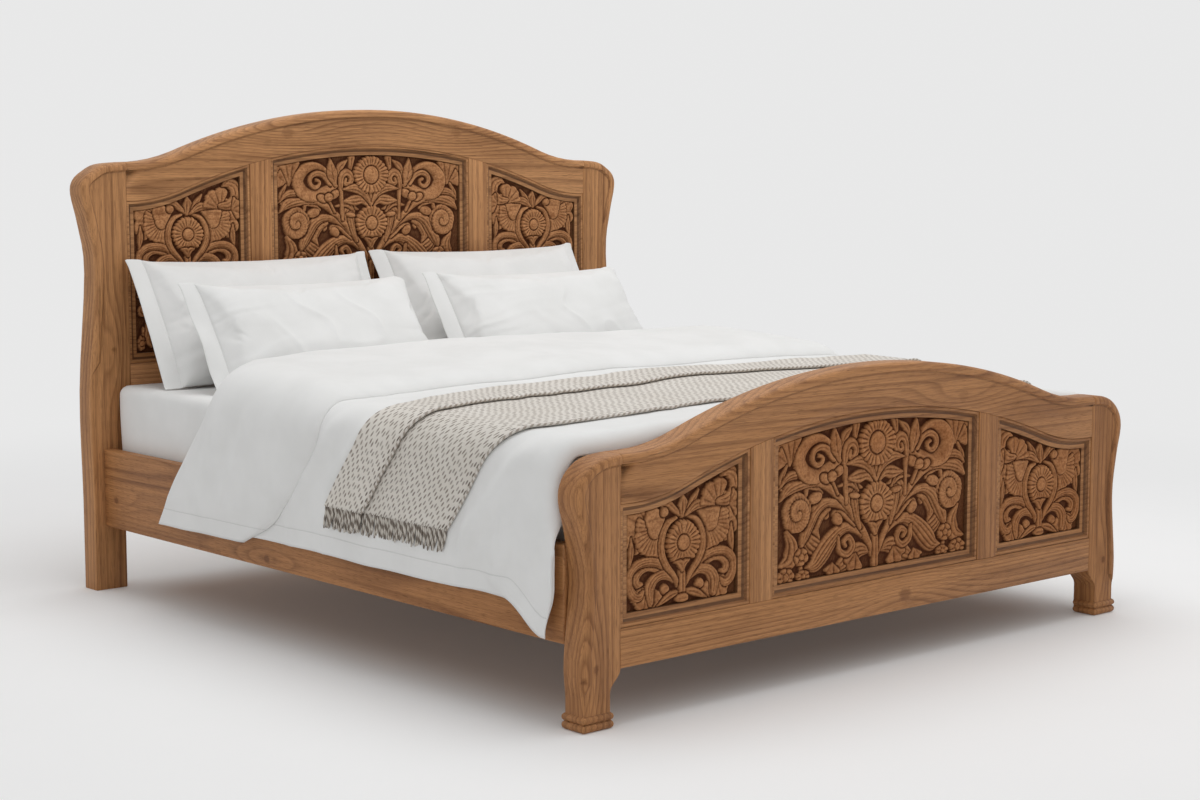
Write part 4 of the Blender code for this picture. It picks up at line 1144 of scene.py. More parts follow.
@dataclass
class Drape:
    """The bed's section under cloth: level on top, a quarter turn over the edge, then straight down.

    A place on it is the run from the middle line along the section, and the bed's own y.
    """

    top: float = 0.6243
    side: float = 0.9556
    turn: float = 0.075
    sag: float = 0.038
    crown: float = 0.010
    flare: float = 0.014
    hand_shift: float = 17.3
    dents: tuple[float, float, float] = (0.0060, 0.0028, 0.0012)
    folds: tuple[float, float, float] = (0.0105, 0.0045, 0.0040)

    @property
    def flat(self) -> float:
        """Half width of the level part."""
        return self.side - self.turn

    @property
    def bend(self) -> float:
        """Run at which the side starts to fall straight."""
        return self.flat + self.turn * math.pi / 2

    def run_to(self, z: float | Array) -> float | Array:
        """The run at which the side is at a height."""
        return self.bend + self.top - self.turn - z

    def swell(self, run: Array, y: Array) -> Array:
        """How far the duvet stands off its plain section: dents on top, folds that grow down the side."""
        r = np.abs(run)
        hand = np.where(run < 0, 0.0, self.hand_shift)
        on_top = 1 - step(r, self.flat - 0.10, self.bend)
        dents = self.dents[0] * ripple(run * 2.6 + 3, y * 2.3 + 1, 3)
        dents += self.dents[1] * ripple(run * 6.5, y * 6.0, 4)
        dents += self.dents[2] * ripple(run * 15 + 4 * ripple(run * 3, y * 3, 9), y * 13, 5)
        crown = self.crown * np.cos(np.clip(r / self.flat, 0, 1) * math.pi / 2)
        fall = np.clip((r - self.bend) / 0.30, 0, 1.3)
        slant = y + 0.28 * (r - self.bend)
        folds = self.folds[0] * fall * ripple(slant * 5.2 + hand, r * 1.1, 21)
        folds += self.folds[1] * fall * ripple(slant * 12.5 + hand, r * 2.0, 22)
        sharp = ripple(slant * 7.0 + hand + 2.0, r * 1.4, 23)
        folds += self.folds[2] * (1 - np.abs(sharp)) ** 6 * step(r, self.flat, self.bend + 0.06)
        return (dents + crown) * on_top + folds + self.flare * fall**1.2 + self.creases(r, y)

    def creases(self, run: Array, y: Array) -> Array:
        """Soft ridges down the side, each along a straight line: y and z of its ends, half width, height.

        A ridge's height falls off as a bell across its line, and to nothing past its ends.
        """
        total = 0 * run * y
        for ridge in (
                (-195, 600, -10, 370, 22, 8.5), (-345, 625, -150, 430, 20, 6.0),
                (-900, 590, -690, 380, 26, 17.0), (-715, 420, -665, 300, 20, 11.0),
                (-770, 310, -962, 215, 16, 10.0), (-840, 480, -800, 300, 24, 11.0),
                (300, 560, 400, 300, 40, 9.5), (150, 560, 300, 330, 30, 7.5)):
            y0, z0, y1, z1, wide, high = np.array(ridge) / MM
            start, end = np.array([y0, self.run_to(z0)]), np.array([y1, self.run_to(z1)])
            length = np.linalg.norm(end - start)
            ahead = (end - start) / length
            along = (y - start[0]) * ahead[0] + (run - start[1]) * ahead[1]
            off = (y - start[0]) * ahead[1] - (run - start[1]) * ahead[0]
            ends = step(along, -0.04, 0.04) * step(length - along, -0.05, 0.05)
            total = total + high * np.exp(-((off / wide) ** 2)) * ends
        return total

    def at(self, run: Array, y: Array, lift: Array | float) -> Array:
        """Places on the section, pushed out along its normal by the lift, and sunk at the far foot corner.

        Args:
            run: signed distance along the section from the middle line.
            y: the bed's y.
            lift: how far out.

        Returns:
            The places.
        """
        r = np.abs(run)
        angle = np.clip((r - self.flat) / self.turn, 0, math.pi / 2)
        drop = np.clip(r - self.bend, 0, None)
        x = np.minimum(r, self.flat) + (self.turn + lift) * np.sin(angle)
        z = self.top - self.turn + (self.turn + lift) * np.cos(angle) - drop
        z = z - self.sag * step(run, 0.50, 0.90) * step(-y, 0.40, 0.95) * step(z, 0.38, 0.58)
        return np.stack([np.sign(run) * x, y + 0 * x, z], axis=-1)


@dataclass
class Duvet:
    """The duvet: hung past both rails, its head end rolled back in a band that sweeps down its sides."""

    drape: Drape
    foot_y: float = -0.981
    thickness: float = 0.011
    hem_share: float = 0.30
    hem_z: float = 0.262
    tip_z: float = 0.194
    band_z: float = 0.246
    band_gap: float = 0.0040
    roll: float = 0.030
    tuck: float = 0.030
    columns: int = 229
    top_share: float = 0.66

    def fold_y(self, run: Array) -> Array:
        """Where the roll lies, by the run from the middle."""
        return traced(np.abs(run), [(0, 468), (300, 458), (600, 418), (800, 365), (920, 330), (966, 345),
                                    (1066, 425), (1210, 535), (1290, 588), (1360, 612), (1420, 630)])

    def hem_y(self, run: Array) -> Array:
        """Where the turned-back band ends."""
        return traced(run, [(-1420, 340), (-1310, 230), (-1250, 108), (-1180, 22), (-1100, -46),
                            (-1020, -100), (-950, -112), (-880, -106), (-780, -104), (-620, -90),
                            (-365, -85), (0, -68), (365, -26), (620, -20), (780, -36), (950, -70),
                            (1100, -30), (1250, 108), (1310, 230), (1420, 340)])

    def lip(self, run: Array) -> Array:
        """Height of the band's rounded edge over the cloth below it, by the run from the middle."""
        return traced(np.abs(run), [(0, 30), (700, 33), (920, 34), (1050, 30), (1180, 22), (1300, 14),
                                    (1420, 10)])

    def runs(self, share: Array, end: Array) -> Array:
        """Spreads columns over the section: most on top and on the bend, the rest down to the hem's run."""
        s = np.abs(share)
        bend = self.drape.bend
        inner = np.clip(s / self.top_share, 0, 1) * bend
        outer = np.clip((s - self.top_share) / (1 - self.top_share), 0, 1) * (end - bend)
        return np.sign(share) * (inner + outer)

    def hem_run(self, y: Array) -> Array:
        """The run of the hem along the bed: level, then dropping to a point at the foot corner."""
        tip = step(-y, 0.84, 0.972)
        lift = 0.016 * step(y, 0.20, 0.60)
        wave = 0.004 * ripple(y * 5.0, 0 * y + 3.3, 31)
        return self.drape.run_to(self.hem_z - (self.hem_z - self.tip_z) * tip - lift + wave)

    def on_top(self, run: Array) -> Array:
        """1 on the level part, 0 down the side."""
        return 1 - step(np.abs(run), self.drape.flat - 0.05, self.drape.bend)

    def radius(self, run: Array) -> Array:
        """Half height of the roll: full on top, flatter where it hangs."""
        return self.roll * (0.40 + 0.60 * self.on_top(run)) - 0.003 * step(np.abs(run), self.drape.bend, 1.3)

    def laid(self, share: Array) -> tuple[Array, Array]:
        """The cloth from the foot end to the roll: the section plus its swell, tucked down at the foot end.

        Args:
            share: place of each column, -1 to 1 from hem to hem.

        Returns:
            Its places by row and column, and each place's distance from the nearest hem.
        """
        climb = np.linspace(0, 1, 160)[:, None] ** 0.97
        corner = np.linspace(math.pi / 2, 0, 10)[:-1, None]
        start = self.foot_y + self.tuck
        plain = np.concatenate([np.full((2, 1), self.foot_y), start - self.tuck * np.sin(corner),
                                start + (0.42 - start) * climb])
        push = np.concatenate([[[self.tuck + 0.010]], [[self.tuck + 0.005]], self.tuck * (1 - np.cos(corner)),
                               0 * climb])
        hem = self.hem_run(plain)
        run = self.runs(share, hem)
        t = np.concatenate([np.zeros((2 + len(corner), 1)), climb])
        y = np.minimum(plain, start) + (self.fold_y(run) - start) * t
        r, to = np.abs(run), self.drape.run_to
        free = step(r, to(0.47), to(0.39))
        foot = step(-y, 0.86, -self.foot_y)
        bulge = step(r, to(0.44), to(0.38)) * foot
        point = step(r, to(0.31), to(0.20)) * foot
        lift = self.drape.swell(run, y) - push * (1 - free)
        places = self.drape.at(run, y - 0.010 * bulge + 0.024 * point, lift)
        return places, np.where(r > self.drape.bend, np.abs(r - hem), 1.0)

    def turned(self, share: Array) -> tuple[Array, Array]:
        """The roll, half a circle over the cloth below, and the band from it back to a rounded end.

        Args:
            share: place of each column, -1 to 1 from hem to hem.

        Returns:
            Its places by row and column, and each place's distance from the nearest hem.
        """
        end = self.drape.run_to(self.band_z) + 0 * share
        run = self.runs(share, end)
        fold, hem, lip, wide = self.fold_y(run), self.hem_y(run), self.lip(run), self.radius(run)
        turn = np.linspace(0, math.pi, 13)[1:-1, None]
        rolled = self.drape.at(run + 0 * turn, fold + wide * np.sin(turn),
                               self.drape.swell(run, fold) + wide * (1 - np.cos(turn)))
        back = 1 - (1 - np.linspace(0, 1, 74)[:, None]) ** 1.5
        y = fold + (hem - fold) * back
        arch = np.sin(math.pi * back)
        over = lip + (2 * wide - lip) * (1 - back) ** 1.5 + 0.008 * arch * self.on_top(run)
        into = np.clip(1 - (1 - back) * (fold - hem) / (2.4 * lip), 0, 1)
        over = self.band_gap + (over - self.band_gap) * np.clip(1 - into**2, 0, 1) ** 0.6
        pleat = 0.0022 * ripple(run * 5 + 1.5, y * 7.0, 41) * arch
        banded = self.drape.at(run + 0 * back, y, self.drape.swell(run, y) + over + pleat)
        down = np.abs(np.abs(run) - end) + (np.abs(run) < self.drape.bend)
        return np.concatenate([rolled, banded]), np.concatenate([down + 0 * turn, down + 0 * back])

    def build(self, material: Material) -> Piece:
        """Makes the cloth and gives it its filling, which thins out towards the hems."""
        share = np.linspace(-1, 1, self.columns)[None, :]
        points, edge = (np.concatenate(both) for both in zip(self.laid(share), self.turned(share)))
        rows, columns, _ = points.shape
        quads = Meshes.grid_faces(rows, columns)[:, ::-1]
        piece = Meshes.build("duvet_in_cover", points.reshape(-1, 3), quads)
        Meshes.give(piece, "edge", edge)
        full = piece.vertex_groups.new(name="filled")
        tenths = np.round(step(edge.ravel(), 0.030, 0.085) * 10).astype(int)
        for level in range(11):
            full.add([int(i) for i in np.flatnonzero(tenths == level)], level / 10, "REPLACE")
        solid = Meshes.thicken(piece, "filling", self.thickness)
        solid.vertex_group = "filled"
        solid.thickness_vertex_group = self.hem_share
        Meshes.seat(piece, material, "white_linen")
        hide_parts("duvet")
        return piece


@dataclass
class Throw:
    """The knitted throw across the bed: folded lengthwise along its head side, fringed at both ends."""

    drape: Drape
    duvet_half: float = 0.0075
    thickness: float = 0.0045
    fold_gap: float = 0.0025
    end_z: float = 0.386
    upper_share: float = 0.32
    width: float = 0.545
    fringe: float = 0.055
    strand_pitch: float = 0.0092
    lean: float = 0.010
    braid: float = 0.0030
    braid_lift: float = 0.0046
    braid_twist: float = 60.0
    fringe_twist: float = 38.0
    columns: int = 281

    @property
    def end(self) -> float:
        """Run of the throw's ends."""
        return self.drape.run_to(self.end_z)

    @property
    def gap(self) -> float:
        """How far the upper layer lies over the lower one."""
        return self.thickness + self.fold_gap

    def head_y(self, run: Array) -> Array:
        """The folded side, next to the duvet's band."""
        return traced(run, [(-1180, -152), (-1100, -206), (-1040, -254), (-973, -307), (-915, -336),
                            (-842, -334), (-734, -306), (-594, -268), (-400, -250), (-180, -245),
                            (250, -215), (600, -205), (900, -215), (1180, -165)])

    def foot_y(self, run: Array) -> Array:
        """The open side towards the foot."""
        return traced(run, [(-1180, -613), (-1110, -665), (-1057, -706), (-1000, -747), (-940, -800),
                            (-905, -826), (-846, -838), (-701, -838), (-350, -825), (0, -815), (600, -800),
                            (900, -790), (1180, -740)])

    def at(self, run: Array, across: Array, above: Array | float) -> Array:
        """Places on the throw by run, share of the width from the folded side, and height over the duvet."""
        y = self.head_y(run) + (self.foot_y(run) - self.head_y(run)) * across
        wave = 0.0016 * ripple(run * 9.0, across * 3.0, 51)
        return self.drape.at(run, y, self.drape.swell(run, y) + self.duvet_half + wave + above)

    def rows(self) -> tuple[Array, Array, Array]:
        """Across, height and flat distance of each row: the lower layer, the fold, then the upper layer."""
        under = np.linspace(1, 0, 46)
        turn = np.linspace(-math.pi / 2, math.pi / 2, 7)[1:-1]
        over = np.linspace(0, self.upper_share, 16)
        across = np.concatenate([under, -0.008 * np.cos(turn), over])
        above = np.concatenate([0 * under, self.gap * (1 + np.sin(turn)) / 2, self.gap + 0 * over])
        flat = np.concatenate([1 - under, np.ones(len(turn)), 1 + over]) * self.width
        return across, above + self.thickness / 2, flat

    def cloth(self, material: Material) -> Piece:
        """The sheet, with its own UV in metres along and across the knit."""
        run = np.linspace(-self.end, self.end, self.columns)[None, :]
        across, above, flat = (values[:, None] for values in self.rows())
        points = self.at(run + 0 * across, across + 0 * run, above)
        rows, columns, _ = points.shape
        quads = Meshes.grid_faces(rows, columns)
        piece = Meshes.build("throw_knit", points.reshape(-1, 3), quads)
        uv = np.stack(np.broadcast_arrays(run, flat), axis=2)
        Meshes.map(piece, "knit", uv.reshape(-1, 2)[quads.ravel()])
        Meshes.thicken(piece, "thickness", self.thickness)
        Meshes.seat(piece, material, "beige_knit")
        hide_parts("throw_blanket")
        return piece

    def tube(self, line: Array, radius: Array, sides: int, pitch: float) -> tuple[Array, list, Array]:
        """A round section carried along lines: the section's frame is fixed by each line's own direction.

        Args:
            line: places by line and step.
            radius: one per step.
            sides: points round the section.
            pitch: how often the ply winds in a metre.

        Returns:
            Places, faces with those of the ends last, and UV by corner of the other faces.
        """
        count, steps, _ = line.shape
        ahead = np.gradient(line, axis=1)
        ahead /= np.linalg.norm(ahead, axis=2, keepdims=True)
        side = np.cross(ahead, np.array([0.31, 0.57, 0.76]))
        side /= np.linalg.norm(side, axis=2, keepdims=True)
        up = np.cross(ahead, side)
        angle = np.linspace(0, 2 * math.pi, sides, endpoint=False)[:, None]
        ring = side[:, :, None] * np.cos(angle) + up[:, :, None] * np.sin(angle)
        points = line[:, :, None] + ring * radius[None, :, None, None]
        number = np.arange(count * steps * sides).reshape(count, steps, sides)
        a, b = number[:, :-1], number[:, 1:]
        quads = np.stack([a, np.roll(a, -1, 2), np.roll(b, -1, 2), b], axis=3).reshape(-1, 4)
        step_length = np.linalg.norm(np.diff(line, axis=1), axis=2)
        length = np.concatenate([np.zeros((count, 1)), step_length.cumsum(1)], axis=1) * pitch
        length += np.random.default_rng(5).uniform(0, 1, (count, 1))
        turn = np.arange(sides) / sides
        low, high = length[:, :-1, None], length[:, 1:, None]
        corners = ((turn, low), (turn + 1 / sides, low), (turn + 1 / sides, high), (turn, high))
        uv = np.stack([np.stack(np.broadcast_arrays(*corner), axis=3) for corner in corners], axis=3)
        return points.reshape(-1, 3), [*quads, *number[:, 0, ::-1], *number[:, -1]], uv.reshape(-1, 2)

    def strands(self, name: str, line: Array, radius: Array, sides: int, pitch: float,
                material: Material) -> Piece:
        """Makes one piece of many strands, each closed at both ends."""
        points, faces, corner = self.tube(line, radius, sides, pitch)
        piece = Meshes.build(name, points, faces)
        uv = np.zeros((len(piece.data.loops), 2))
        uv[:len(corner)] = corner
        Meshes.map(piece, "ply", uv)
        return Meshes.seat(piece, material, "beige_knit")

    def selvedges(self, material: Material) -> Piece:
        """The braided edges: one along the lower layer's open side, one along the upper layer's."""
        run = np.linspace(-self.end, self.end, 300)
        line = np.stack([self.at(run, 0 * run + across, above + self.braid_lift)
                         for across, above in ((1.004, 0.0), (self.upper_share + 0.006, self.gap))])
        return self.strands("throw_selvedges", line, np.full(len(run), self.braid), 8, self.braid_twist,
                            material)

    def fringes(self, material: Material) -> Piece:
        """Twisted strands that hang from both ends, each a little apart from its neighbours."""
        count = int(self.width / self.strand_pitch)
        under = (np.arange(count) + 0.5) / count
        over = under[under < self.upper_share]
        across = np.concatenate([under, over])
        above = np.concatenate([0 * under, self.gap + 0 * over]) + self.thickness / 2
        radius = np.array([0.0027, 0.0033, 0.0032, 0.0031, 0.0029, 0.0018])
        t = np.linspace(0, 1, len(radius))[None, :]
        rng = np.random.default_rng(77)
        each = (len(across), 1)
        lines = []
        for sign in (-1.0, 1.0):
            root = self.at(np.full(len(across), sign * (self.end - 0.003)), across, above)
            sway = rng.normal(self.lean, 0.0030, each)
            out = rng.normal(0.0, 0.0020, each)
            long = self.fringe * rng.uniform(0.84, 1.06, each)
            curl = 0.0016 * np.sin(t * 7 + rng.uniform(0, 6.28, each))
            line = np.repeat(root[:, None], len(radius), axis=1)
            line[..., 0] += sign * (out * t + 0.0015 * t)
            line[..., 1] += sway * t**1.5 + curl * t
            line[..., 2] -= long * t
            lines.append(line)
        return self.strands("throw_fringe", np.concatenate(lines), radius, 6, self.fringe_twist,
                            material)

    def build(self) -> list[Piece]:
        cloth = self.cloth(Knit().make())
        edge = Yarn("edge_yarn", cream=(0.74, 0.70, 0.645), brown=(0.36, 0.30, 0.25)).make()
        trims = [self.selvedges(edge), self.fringes(Yarn().make())]
        flat = (self.width * (1 + self.upper_share), 2 * self.end)
        return [cloth, *trims]


SWELLING = {
    "quality": 5, "mass": 0.2, "air_damping": 3.0, "tension_stiffness": 30.0, "compression_stiffness": 12.0,
    "shear_stiffness": 6.0, "bending_stiffness": 0.08, "use_pressure": True, "uniform_pressure_force": 4.0,
}
SWELLING_FRAMES = 22


@dataclass
class Pillow:
    """A feather pillow in a case with a flat flange at one end or both, leaning on what is behind it."""

    node: str
    middle_x: float
    y: float
    height: float
    lean: float
    seed: int
    body: float = 0.739
    far_flange: float = 0.0
    depth: float = 0.150
    flange: float = 0.046
    flange_half: float = 0.0016
    puckers: tuple[float, float] = (0.0058, 0.0022)
    crease: float = 0.0058
    rest_z: float = 0.5806
    columns: int = 99
    rows: int = 55
    give: float = 0.020
    piece: Piece | None = None

    @property
    def numbers(self) -> Array:
        """Point numbers of the front layer, by row and column."""
        return np.arange(self.rows * self.columns).reshape(self.rows, self.columns)

    def cut(self) -> None:
        """Two layers sewn together round their border, a little less full than in use.

        The layers are grids over the width a and the height b. Half their gap is the product of a hump over
        a and one over b, and the sides pull in between the corners by a share that is greatest at their
        middles. An end without a flange has rounded corners.
        """
        a, b = np.meshgrid(np.linspace(-1, 1, self.columns), np.linspace(-1, 1, self.rows))
        hump = 0.42 * self.depth * (1 - np.abs(a) ** 3.4) ** 0.62 * (1 - np.abs(b) ** 2.5) ** 0.62
        wave = 0.003 * ripple(a * 5 + self.seed, b * 3, self.seed) * (1 - a**4) * (1 - b**4)
        x = a * self.body / 2 * (1 - 0.012 * (1 - b * b))
        blunt = (0.0 if self.far_flange else 0.10) * np.clip((a - 0.86) / 0.14, 0, 1) ** 2.2
        y = b * self.height / 2 * (1 - 0.022 * (1 - a * a)) * (1 - blunt)
        front, back = (np.stack([x, y, z], axis=2).reshape(-1, 3) for z in (hump + wave, wave - hump))
        inner = np.zeros((self.rows, self.columns), bool)
        inner[1:-1, 1:-1] = True
        other = self.numbers
        other[inner] = inner.size + np.arange(inner.sum())
        quads = Meshes.grid_faces(self.rows, self.columns)
        points = np.concatenate([front, back[inner.ravel()]])
        faces = np.concatenate([quads, other.ravel()[quads][:, ::-1]])
        self.piece = Meshes.build(f"{self.node}.cased", points, faces)

    def fill(self) -> None:
        """Adds the cloth simulation that swells the two layers."""
        cloth = self.piece.modifiers.new("swelling", "CLOTH")
        for key, value in SWELLING.items():
            setattr(cloth.settings, key, value)
        cloth.settings.effector_weights.gravity = 0.0
        cloth.collision_settings.use_collision = False

    @staticmethod
    def places(mesh: bpy.types.Mesh) -> Array:
        """A mesh's places, one row each."""
        held = np.empty(len(mesh.vertices) * 3, np.float32)
        mesh.vertices.foreach_get("co", held)
        return held.reshape(-1, 3)

    def settle(self, simulated: bool) -> None:
        """Takes the swollen shape, caps how far it moved, and drops the simulation."""
        flat = self.places(self.piece.data)
        swollen = flat.astype(float)
        if simulated:
            shaped = self.piece.evaluated_get(bpy.context.evaluated_depsgraph_get())
            move = self.places(shaped.to_mesh()).astype(float) - flat
            shaped.to_mesh_clear()
            far = np.linalg.norm(move, axis=1, keepdims=True)
            swollen = flat + move * np.minimum(1.0, self.give / np.maximum(far, 1e-9))
            self.piece.modifiers.clear()
        swollen -= (swollen.max(0) + swollen.min(0)) / 2
        full = np.array([self.body, self.height, self.depth])
        self.shape(self.wrinkle(swollen * (full / np.ptp(swollen, axis=0))))

    def wrinkle(self, local: Array) -> Array:
        """Fine puckers in from both end seams, and a few soft slanting folds across the front and back."""
        a, b = 2 * local[:, 0] / self.body, 2 * local[:, 1] / self.height
        side = np.clip(local[:, 2] / 0.012, -1, 1)
        in_left, in_right = np.exp(-(a + 1) / 0.34), np.exp(-(1 - a) / 0.22)
        bent = b * 9 - a * 3 + 1.6 * ripple(a * 2.4, b * 2.0, 70 + self.seed)
        pucker = ripple(bent, a * 1.6 + 5, 71 + self.seed) * self.puckers[0]
        pucker += ripple(bent * 2.1, a * 3, 72 + self.seed) * self.puckers[1]
        slant = a * 4.4 + b * 0.8 + 0.5 * ripple(a * 2, b * 2, 73 + self.seed)
        fold = (1 - np.abs(ripple(slant + self.seed, b * 0.9 - a * 0.5, 74 + self.seed))) ** 5
        out = pucker * (in_left + 0.7 * in_right) + self.crease * fold * (1 - a * a) * (1 - b * b)
        moved = local.copy()
        moved[:, 2] += side * out
        return moved

    def pose(self, local: Array) -> Array:
        """Leans the pillow back, lets its filling sink, and flattens it where it rests."""
        a, b, c = local.T
        low = step(-b / self.height, -0.5, 0.5)
        c = c * (0.78 + 0.36 * low)
        b = b - 0.006 * np.cos(a / self.body * math.pi) * step(b, 0.0, self.height / 2)
        lean = math.radians(self.lean)
        bow = 0.018 * (2 * a / self.body) ** 2
        x = self.middle_x + (self.flange - self.far_flange) / 2 + a
        y = self.y + b * math.cos(lean) - c * math.sin(lean) + bow * 0.4
        z = b * math.sin(lean) + c * math.cos(lean)
        floor = z.min() + 0.010
        z = np.where(z < floor + 0.02, floor + 0.02 * np.exp((z - floor - 0.02) / 0.02), z)
        return np.stack([x, y, z - z.min() + self.rest_z], axis=1)

    def shape(self, local: Array) -> None:
        """Adds the flanges to the swollen body and puts the whole pillow in its place."""
        points, faces = [local], [list(p.vertices) for p in self.piece.data.polygons]
        count = len(local)
        seams = self.numbers[:, 0], self.numbers[:, -1]
        for seam, away, width in zip(seams, (-1, 1), (self.flange, self.far_flange)):
            if not width:
                continue
            strip = self.flange_strip(local[seam], away, width)
            rows, loop, _ = strip.shape
            ids = count + np.arange(rows * loop).reshape(rows, loop)
            turned = np.roll(ids, -1, axis=1)
            quads = np.stack([ids[:-1], turned[:-1], turned[1:], ids[1:]], axis=2).reshape(-1, 4)[:, ::-1]
            faces += [*quads.tolist(), ids[0].tolist(), ids[-1][::-1].tolist()]
            points.append(strip.reshape(-1, 3))
            count += rows * loop
        name = self.piece.data.name
        bpy.data.objects.remove(self.piece)
        self.piece = Meshes.build(f"{self.node}.cased", self.pose(np.concatenate(points)), faces)
        self.piece.data.name = name
        soft = self.piece.modifiers.new("soft", "SUBSURF")
        soft.levels = soft.render_levels = 1

    def flange_strip(self, seam: Array, away: int, width: float) -> Array:
        """A flat strip past a seam: a thin closed loop of points for each place along the seam.

        Args:
            seam: the seam's places.
            away: the way in which the strip leaves, -1 to the left and 1 to the right.
            width: how far it reaches.

        Returns:
            The loops, wound so that their faces look outward.
        """
        t = np.linspace(0, 1, 7)[None, :]
        along = np.linspace(-1, 1, len(seam))[:, None]
        wave = 0.006 * ripple(along * 2.2 + self.seed, t * 1.2, 60 + self.seed) * t
        x = seam[:, :1] - away * (0.006 - (width + 0.006) * t)
        y = seam[:, 1:2] * (1 + 0.012 * t)
        z = seam[:, 2:3] + wave - 0.008 * t**2
        front = np.stack([x, y, z + self.flange_half], axis=2)
        back = np.stack([x, y, z - self.flange_half], axis=2)[:, ::-1]
        return np.concatenate([front, back], axis=1)[:, ::-away]

    def finish(self, material: Material) -> Piece:
        """Dresses the pillow and puts it in its node's stead."""
        Meshes.seat(self.piece, material, "white_linen")
        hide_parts(self.node)
        return self.piece


def make_pillows(material: Material) -> list[Piece]:
    """Cuts four pillows, swells them together in one simulation, and leans them in place."""
    rows = {"back": {"y": 0.860, "height": 0.412, "lean": 60.0, "body": 0.739, "far_flange": 0.034},
            "front": {"y": 0.634, "height": 0.365, "lean": 56.0, "body": 0.716}}
    pillows = []
    for row, sizes in rows.items():
        for side, x in (("left", -0.4605), ("right", 0.3725)):
            pillows.append(Pillow(f"pillow_{row}_{side}", middle_x=x, seed=3 + len(pillows), **sizes))
    for pillow in pillows:
        pillow.cut()
    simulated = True
    if simulated:
        for pillow in pillows:
            pillow.fill()
        for frame in range(1, SWELLING_FRAMES + 1):
            bpy.context.scene.frame_set(frame)
    for pillow in pillows:
        pillow.settle(simulated)
    bpy.context.scene.frame_set(1)
    return [pillow.finish(material) for pillow in pillows]


def make_bedding() -> list[Piece]:
    """Makes the mattress, the pillows, the duvet and the throw."""
    low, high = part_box("mattress")
    sheet = Linen("fitted_sheet_cotton").make()
    case = Linen("pillow_case_cotton").make()
    cover = Linen("duvet_cover_cotton", hemmed=True).make()
    drape = Drape()
    pieces = [Mattress(tuple(low), tuple(high)).build(sheet)]
    pieces += make_pillows(case)
    pieces.append(Duvet(drape).build(cover))
    pieces += Throw(drape).build()
    return pieces


